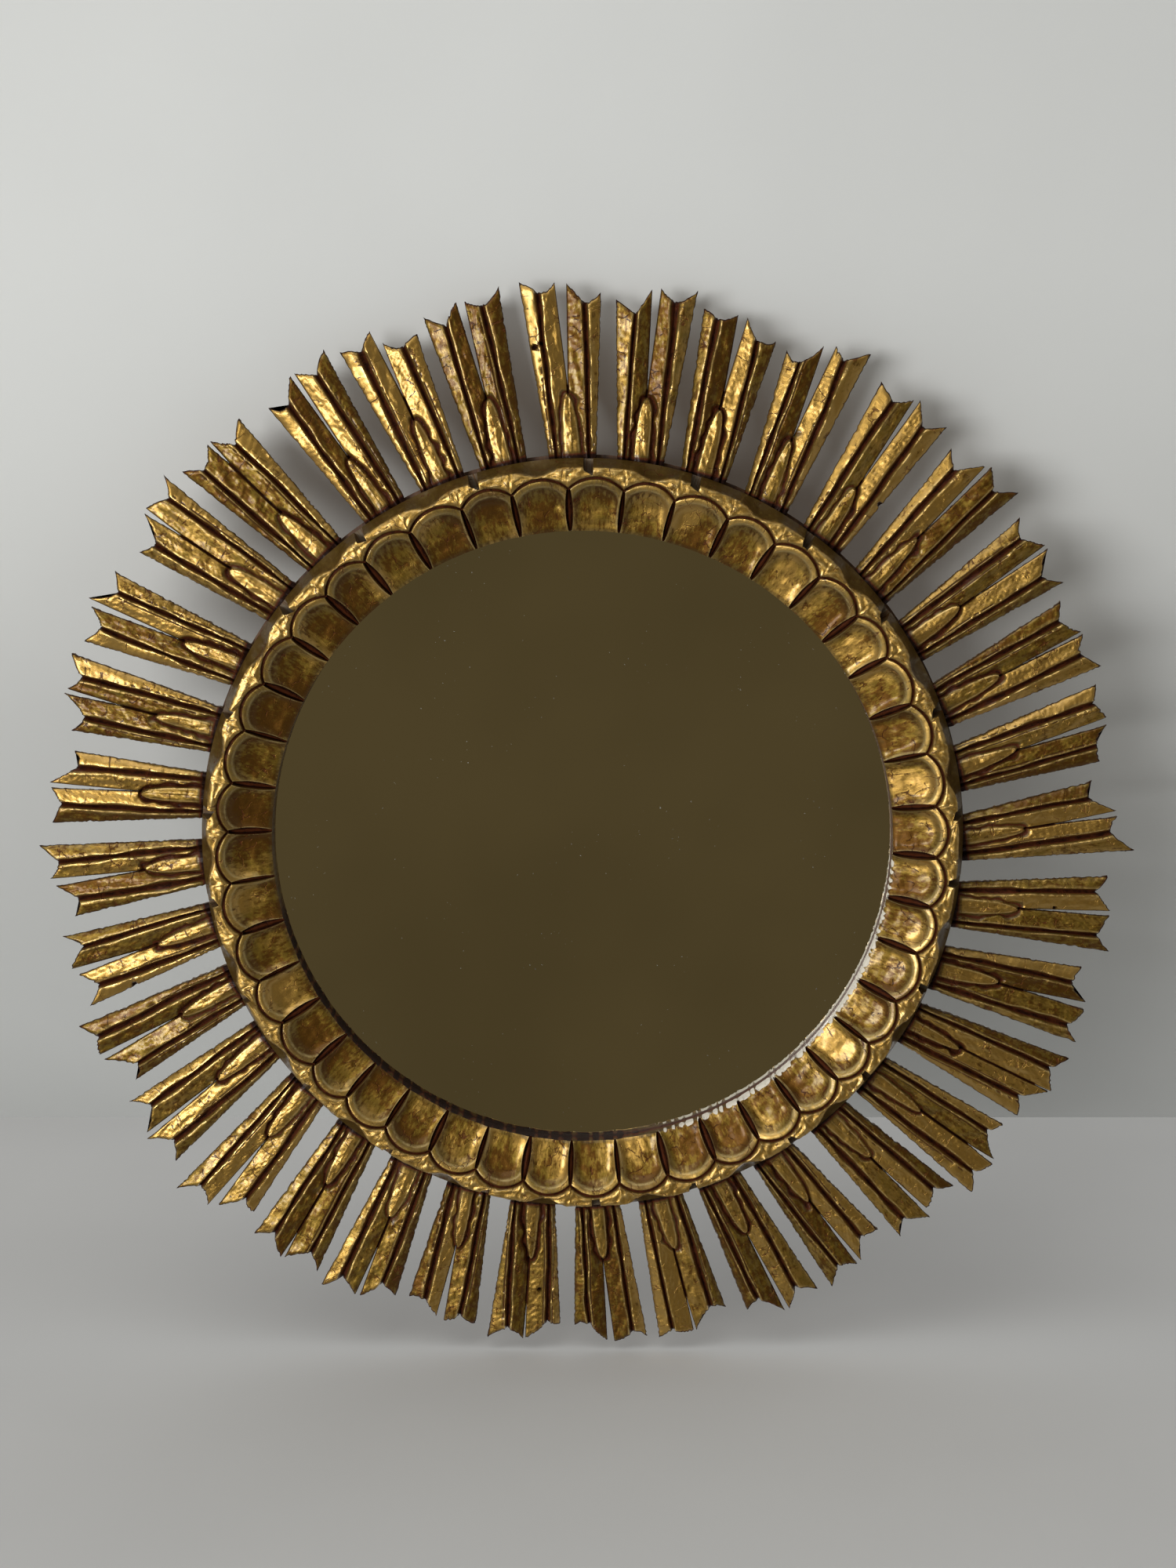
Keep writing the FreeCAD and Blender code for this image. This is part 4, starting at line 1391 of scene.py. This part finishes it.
    def add_lands(self) -> None:
        """Adds the groove round the crowns and the lands as far as the coves and notches."""
        top = self.section.ring_front
        slope = self.slope(self.crown)
        for beyond, deep, glaze in CROWN_GROOVE:
            self.row(self.crown + beyond, slope - deep, self.settled, glaze=glaze, tone=0.2)
        start = self.crown + self.line_half
        run = np.maximum(self.edge_r, start + 0.5) - start
        for share in np.linspace(0, 1, self.land_rows):
            radius = start + run * share
            place = self.settled + (self.moved - self.settled) * smooth(share, 0.0, 0.8)
            theta = self.centre + place * self.half
            lump = self.lump_depth * self.wave(theta, radius, 3.0, self.land_wave_r)
            lump = lump + self.pit_depth * self.wave(theta, radius, 1.5, self.land_wave_r)
            ends = close(radius - start, self.land_edge_width) ** 2 * self.land_start_round
            near_end = close(self.edge_r - radius, self.land_edge_width)
            ends = ends + near_end ** 2 * self.land_end_round
            level = top - self.land_skin - ends - self.cove_dip * self.cove * share + lump
            speck = np.clip(self.wave(theta, radius, 2.1, self.land_wave_r), 0, 1)
            # Painted highlight: the tops of the lumps are drawn pale.
            self.row(radius, np.minimum(level, top - self.land_least), place,
                     glaze=0.28 * ends + 0.24 * speck, worn=0.4 * ends, tone=0.9,
                     pale=0.55 * np.clip(lump / 0.3, 0, 1))

    def add_band(self) -> None:
        """Adds the band with its notches, falling from the lands to the rays' front."""
        head = self.section.ring_front - self.band_drop
        low = self.section.disc_front + self.step_rise
        ring_r = self.section.ring_r
        theta = self.centre + self.moved * self.half
        for share in np.arange(1, self.band_rows + 1) / self.band_rows:
            swell = np.sin(math.pi * share)
            along = np.full_like(theta, share * self.band_length)
            wave = self.band_wave * self.wave(theta, along, 6.0, self.land_wave_r) - self.band_skin
            radius = self.edge_r + (ring_r - self.edge_r) * share
            radius = radius - self.cove_inward * swell * self.cove
            level = head + (low - head) * share - self.cove_hollow * swell * self.cove
            cut_run = ring_r - self.notch_edge - self.notch_r
            cut_r = self.notch_r + self.notch_wall + cut_run * smooth(share, 0.5, 1.0)
            cut_level = low + self.notch_floor + (head - low) * (1 - smooth(share, 0.0, 0.5))
            self.row(np.where(self.notch, cut_r, radius + wave * swell),
                     np.where(self.notch, cut_level, np.maximum(level, low)), self.moved,
                     glaze=np.where(self.notch, 0.0, 0.30 + 0.16 * share), worn=0.1, tone=0.05,
                     bare=np.where(self.notch, 0.95, 0.0))

    def build(self) -> bpy.types.Object:
        """Makes the ring's closed mesh, row by row from the rebate round the front to the back.

        Returns:
            The ring.
        """
        self.add_front()
        self.add_lands()
        self.add_band()
        self.row(self.step_r, self.section.disc_front + self.step_rise, bare=1.0)
        self.row(self.step_r, self.section.disc_front, bare=1.0)
        count = len(self.made)
        grids = {name: np.stack([item[name] for item in self.made]).reshape(count, -1)
                 for name in self.made[0]}
        columns = self.shape[1]
        theta = np.repeat(self.centre, columns) + grids["place"] * np.repeat(self.half, columns)
        radius, depth = grids["radius"], grids["depth"]
        points = np.stack([radius * np.sin(theta), -depth, radius * np.cos(theta)], axis=-1)
        travel = np.cumsum(np.hypot(np.diff(radius.mean(1), prepend=radius[0].mean()),
                                    np.diff(depth.mean(1), prepend=depth[0].mean())))
        around = theta * (self.uv_r / MM_PER_CM)
        uv = np.stack(np.broadcast_arrays(around, travel[:, None] / MM_PER_CM), axis=-1)
        mesh = Mesh()
        index = mesh.add(points, uv, {name: grids[name] for name in FINISH})
        mesh.quads(looped(looped(index, 1), 0))
        return mesh.finish("scalloped_ring", 50.0)


@dataclass
class WireLoop:
    """The hanger's wire loop, bent from one round wire."""

    wire: float = 1.25
    half: float = 8.75
    drop: float = 14.1
    corner: float = 2.3
    bar_half: float = 5.8
    eye_y: float = 2.35
    eye_z: float = 175.9
    sides: int = 18
    bar_points: int = 13
    bend_points: int = 9
    bow_points: int = 33

    def path(self) -> Array:
        """Middle line of the wire: a bar, two rounded corners, two legs and a half circle.

        Returns:
            X and Z in millimetres along the closed line.
        """
        low = self.eye_z - self.drop + self.half
        across = np.linspace(-self.bar_half, self.bar_half, self.bar_points)
        bar = np.stack([across, np.full_like(across, self.eye_z)], axis=1)
        turn = np.linspace(0, math.pi / 2, self.bend_points)
        bend = np.stack([self.half - self.corner + self.corner * np.sin(turn),
                         self.eye_z - self.corner + self.corner * np.cos(turn)], axis=1)
        under = np.linspace(0, math.pi, self.bow_points)
        bow = np.stack([self.half * np.cos(under), low - self.half * np.sin(under)], axis=1)
        return np.concatenate([bar, bend, bow, bend[::-1] * np.array([-1, 1])])

    def build(self) -> bpy.types.Object:
        """Sweeps a circle square to the path.

        Returns:
            The loop.
        """
        path = self.path()
        ahead = np.roll(path, -1, axis=0) - np.roll(path, 1, axis=0)
        ahead /= np.linalg.norm(ahead, axis=1, keepdims=True)
        outward = np.stack([-ahead[:, 1], ahead[:, 0]], axis=1)
        turn = np.linspace(0, 2 * math.pi, self.sides, endpoint=False)
        ring = path[:, None, :] + outward[:, None, :] * (self.wire * np.cos(turn))[None, :, None]
        forward = np.broadcast_to(self.eye_y - self.wire * np.sin(turn), ring.shape[:2])
        mesh = Mesh()
        points = np.stack([ring[..., 0], forward, ring[..., 1]], axis=-1)
        index = mesh.add(points, ring / MM_PER_CM)
        mesh.quads(looped(looped(index, 0), 1)[:, ::-1])
        return mesh.finish("wire_loop", 60.0)


@dataclass
class SlottedScrew:
    """The hanger's round-headed screw, with a slot."""

    head_r: float = 3.0
    head_thick: float = 1.6
    dome_share: float = 0.42
    shank_r: float = 1.5
    shank_length: float = 13.0
    point_length: float = 1.0
    point_r: float = 0.1
    seat_y: float = 1.0
    middle_z: float = 156.5
    slot_half: float = 0.32
    slot_depth: float = 0.75
    turn_deg: float = 31.0
    slot_wall_shares: tuple[float, float] = (0.96, 1.06)
    steps: tuple[float, ...] = (0.12, 0.2, 0.32, 0.45, 0.6, 0.75, 0.88, 0.96, 1.0)

    def build(self) -> bpy.types.Object:
        """Bends a square grid onto the head, then carries its border down to the shank's end.

        A point of the square goes to the circle by the usual elliptical map: x times the root of
        1 - y squared over 2, and the same for y. The dome falls with the square of the radius.

        Returns:
            The screw.
        """
        cut = self.slot_half / self.head_r
        line = np.array([*self.steps, *(cut * share for share in self.slot_wall_shares)])
        steps = np.sort(np.concatenate([-line, [0.0], line]))
        u, v = np.meshgrid(steps, steps, indexing="ij")
        x, z = u * np.sqrt(1 - v ** 2 / 2), v * np.sqrt(1 - u ** 2 / 2)
        dome = self.head_thick * (1 - self.dome_share * np.hypot(x, z) ** 2)
        height = np.where(np.abs(u) < cut, dome - self.slot_depth, dome)
        mesh = Mesh()
        turn = math.radians(self.turn_deg)

        def add(across: Array, up: Array, radius: float, rise: Array) -> Array:
            """Adds points of a circle of a given radius, so far behind the strap."""
            points = [(across * math.cos(turn) - up * math.sin(turn)) * radius, self.seat_y + rise,
                      (across * math.sin(turn) + up * math.cos(turn)) * radius + self.middle_z]
            return mesh.add(np.stack(np.broadcast_arrays(*points), axis=-1),
                            np.stack([across, up], axis=-1))

        def border(grid: Array) -> Array:
            """The values round the border of the square grid."""
            return np.concatenate([grid[:-1, 0], grid[-1, :-1], grid[:0:-1, -1], grid[0, :0:-1]])

        top = add(x, z, self.head_r, height)
        mesh.quads(top[::-1].T)
        levels = [border(top)]
        neck = self.point_length - self.shank_length
        for radius, rise in ((self.head_r, 0.0), (self.shank_r, 0.0), (self.shank_r, neck),
                             (self.point_r, -self.shank_length)):
            levels.append(add(border(x), border(z), radius, np.array(rise)))
        mesh.quads(looped(np.stack(levels), 1))
        mesh.face(levels[-1])
        return mesh.finish("slotted_screw", 35.0)


def dress(node: str, material: bpy.types.Material) -> None:
    """Gives a CAD node its finish in place of the plain one.

    Args:
        node: the node's name.
        material: its finish.
    """
    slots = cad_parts[node].data.materials
    slots.clear()
    slots.append(material)
    LOG.info("%s: dressed in %s", node, material.name)


# Lamps: name, middle in metres, width and height in metres, and power in watts
LAMPS = (("window_lamp", (-1.35, -2.15, 0.1), (1.5, 0.68), 13.8),
         ("ceiling_lamp", (-0.5, -0.9, 1.6), (1.6, 1.6), 4.4))


@dataclass
class Studio:
    """A pale floor and wall, soft lamps, the room that the mirror reflects, and the camera.

    The dim and the bright side of the room each give the direction's y where they start to change
    and where the change is done.
    """

    floor_z: float = -0.2528
    floor_half: float = 6.0
    wall_foot_y: float = 0.374
    wall_top_y: float = 0.0055
    wall_half: float = 6.0
    wall_end_z: float = 4.0
    lean_top_z: float = 0.27
    lean_end_z: float = 0.6
    straight_z: float = 0.7
    lean_bend: float = 0.03
    lean_slope: float = 0.17
    distance: float = 1.2
    elevation_deg: float = 9.75
    lens: float = 58.75
    sensor: float = 36.0
    target: tuple[float, float, float] = (0.00257, 0.0, 0.025)
    backdrop_r: float = 3.6
    backdrop_top: float = 5.0
    spread_deg: float = 100.0
    lamp_colour: tuple[float, float, float] = (1.0, 0.995, 0.98)
    wall_paint: Colour = paint(209, 211, 210)
    floor_paint: Colour = paint(196, 196, 194)
    backdrop_paint: Colour = paint(226, 226, 224)
    dim: Colour = paint(84, 72, 46)
    light: Colour = paint(166, 167, 168)
    bright: Colour = paint(222, 222, 221)
    dim_side: tuple[float, float] = (-0.93, -0.35)
    bright_side: tuple[float, float] = (0.0, 0.6)

    def sheet(self, name: str, points: Array, colour: Colour, *unseen: str) -> Shader:
        """Adds one sheet of the stage in matt paint with faint clouds.

        Args:
            name: the object's name.
            points: metres, rows by columns by 3.
            colour: the paint's colour.
            unseen: the kinds of ray that pass the sheet by.

        Returns:
            The shader of the paint.
        """
        mesh = Mesh()
        mesh.quads(mesh.add(points / MM, points[..., ::2] / MM / MM_PER_CM))
        made = mesh.finish(name)
        shader = Shader(name + "_paint")
        cloud = shader.noise(shader.place(), 3.0, 3.0, 0.5)
        darker = tuple(channel * 0.93 for channel in colour[:3]) + (1.0,)
        shade = shader.mix(cloud.ramp(0.3, 0.7), colour, darker)
        made.data.materials.append(shader.finish(Base_Color=shade, Roughness=0.9))
        for kind in unseen:
            setattr(made, "visible_" + kind, False)
        return shader

    def floor(self) -> None:
        """The floor, which the mirror's glass doesn't show."""
        x, y = np.meshgrid([-self.floor_half, self.floor_half], [-self.floor_half, self.floor_half])
        points = np.stack([x, y, np.full_like(x, self.floor_z)], axis=-1)
        self.sheet("floor", points, self.floor_paint, "glossy")

    def wall(self) -> None:
        """The wall as one bent sheet that leans to the mirror's top and then goes straight up.

        Below the lean's top it falls back with the drop and its square, and the drop is
        bend * ln(1 + exp((lean top - z) / bend)), which is 0 well above the lean's top. From behind
        it lets the view through.
        """
        fall = self.lean_top_z - self.floor_z
        curve = ((self.wall_foot_y - self.wall_top_y) / fall - self.lean_slope) / fall
        height = np.concatenate([np.linspace(self.floor_z, self.lean_end_z, 70),
                                 np.linspace(self.straight_z, self.wall_end_z, 8)])
        drop = self.lean_bend * np.logaddexp(0, (self.lean_top_z - height) / self.lean_bend)
        back = self.wall_top_y + self.lean_slope * drop + curve * drop ** 2
        x, z = np.meshgrid([-self.wall_half, self.wall_half], height)
        points = np.stack([x, np.repeat(back[:, None], 2, axis=1), z], axis=-1)
        shader = self.sheet("wall", points, self.wall_paint, "diffuse", "shadow")
        side = shader.node("ShaderNodeNewGeometry", {}, {}).outputs["Backfacing"]
        clear = shader.node("ShaderNodeBsdfTransparent", {}, {}).outputs[0]
        both = shader.node("ShaderNodeMixShader", {},
                           {0: side, 1: shader.surface.outputs[0], 2: clear})
        shader.feed(shader.tree.nodes["Material Output"], {"Surface": both.outputs[0]})

    def backdrop(self) -> None:
        """A pale round backdrop for the views from the sides and from behind."""
        turn, z = np.meshgrid(np.linspace(0, 2 * math.pi, 97), [self.floor_z, self.backdrop_top])
        x, y = self.backdrop_r * np.sin(turn), self.backdrop_r * np.cos(turn)
        points = np.stack([x, y, z], axis=-1)
        self.sheet("backdrop", points, self.backdrop_paint, "diffuse", "glossy", "shadow")

    def lamp(self, name: str, place: Sequence[float], size: tuple[float, float],
             power: float) -> None:
        """A soft lamp aimed at the mirror.

        Args:
            name: the lamp's name.
            place: its middle, in metres.
            size: its width and height, in metres.
            power: its power in watts.
        """
        data = bpy.data.lights.new(name, "AREA")
        data.shape, data.energy, data.color = "RECTANGLE", power, self.lamp_colour
        data.size, data.size_y = size
        data.spread = math.radians(self.spread_deg)
        made = placed(name, data)
        made.location = place
        made.rotation_euler = (-Vector(place)).to_track_quat("-Z", "Y").to_euler()
        made.visible_camera = False

    def room(self) -> bpy.types.World:
        """The room around: a dim brown side that the mirror faces, paler beside it, bright behind.

        Returns:
            The world.
        """
        world = bpy.data.worlds.new("soft_room")
        world.use_nodes = True
        tree = Tree(world.node_tree)
        direction = tree.node("ShaderNodeTexCoord", {}, {}).outputs["Generated"]
        parts = tree.node("ShaderNodeSeparateXYZ", {}, {0: direction})
        facing = Value(tree, parts.outputs["Y"])
        colour = tree.mix(facing.ramp(*self.dim_side), self.dim, self.light)
        colour = tree.mix(facing.ramp(*self.bright_side), colour, self.bright)
        tree.feed(world.node_tree.nodes["Background"], {"Color": colour})
        return world

    def camera(self) -> bpy.types.Object:
        """The camera, aimed down at the target from the elevation.

        Returns:
            The camera.
        """
        data = bpy.data.cameras.new("camera")
        data.lens, data.sensor_width = self.lens, self.sensor
        made = placed("camera", data)
        tilt = math.radians(self.elevation_deg)
        back = Vector((0, -math.cos(tilt), math.sin(tilt)))
        made.location = Vector(self.target) + back * self.distance
        made.rotation_euler = (-back).to_track_quat("-Z", "Y").to_euler()
        return made

    def build(self) -> None:
        """Sets up the floor, the wall, the backdrop, the lamps, the world and the camera."""
        self.floor()
        self.wall()
        self.backdrop()
        for name, place, size, power in LAMPS:
            self.lamp(name, place, size, power)
        scene = bpy.context.scene
        scene.world = self.room()
        scene.view_settings.view_transform = "Standard"
        scene.camera = self.camera()


def main() -> None:
    """Builds and dresses every piece, then the studio."""
    logging.basicConfig(level=logging.INFO, format="%(name)s: %(message)s")
    section = Section()
    # The ring's painted highlights take a darker pale colour and are duller than the rays'.
    ring_gilding = AgedGilding("ring_gilding", bare=paint(106, 98, 84), pale=paint(216, 194, 132),
                               pale_dulling=0.16, crack_stretch=(1.0, 0.8, 1.0)).material()
    ray_gilding = AgedGilding("ray_gilding").material()
    iron, brass, steel = IRON.material(), BRASS.material(), STEEL.material()
    fit_piece(CarvedRing(section).build(), Body.MIRROR, Slot.RING, ring_gilding, "carved_ring")
    for number, (row, slot_width) in enumerate(zip(RAY_SHARES, SLOT_WIDTHS), 1):
        ray = Ray(number, section, row[0], row[1], row[2], row[3:], slot_width)
        fit_piece(ray.build(), Body.MIRROR, Slot.RAY, ray_gilding, "ray_%02d" % number)
    fit_piece(WireLoop().build(), Body.LOOP, Slot.LOOP, brass, "hanger_loop")
    fit_piece(SlottedScrew().build(), Body.MIRROR, Slot.SCREW, steel, "hanger_screw")
    dress("mirror_glass", FoxedSilver().material())
    dress("backing_disc", StainedPly().material())
    dress("packing_card", GreyCard().material())
    dress("ray_brads", iron)
    dress("backing_nails", iron)
    dress("hanger_strap", brass)
    Studio().build()


if __name__ == "__main__":
    main()
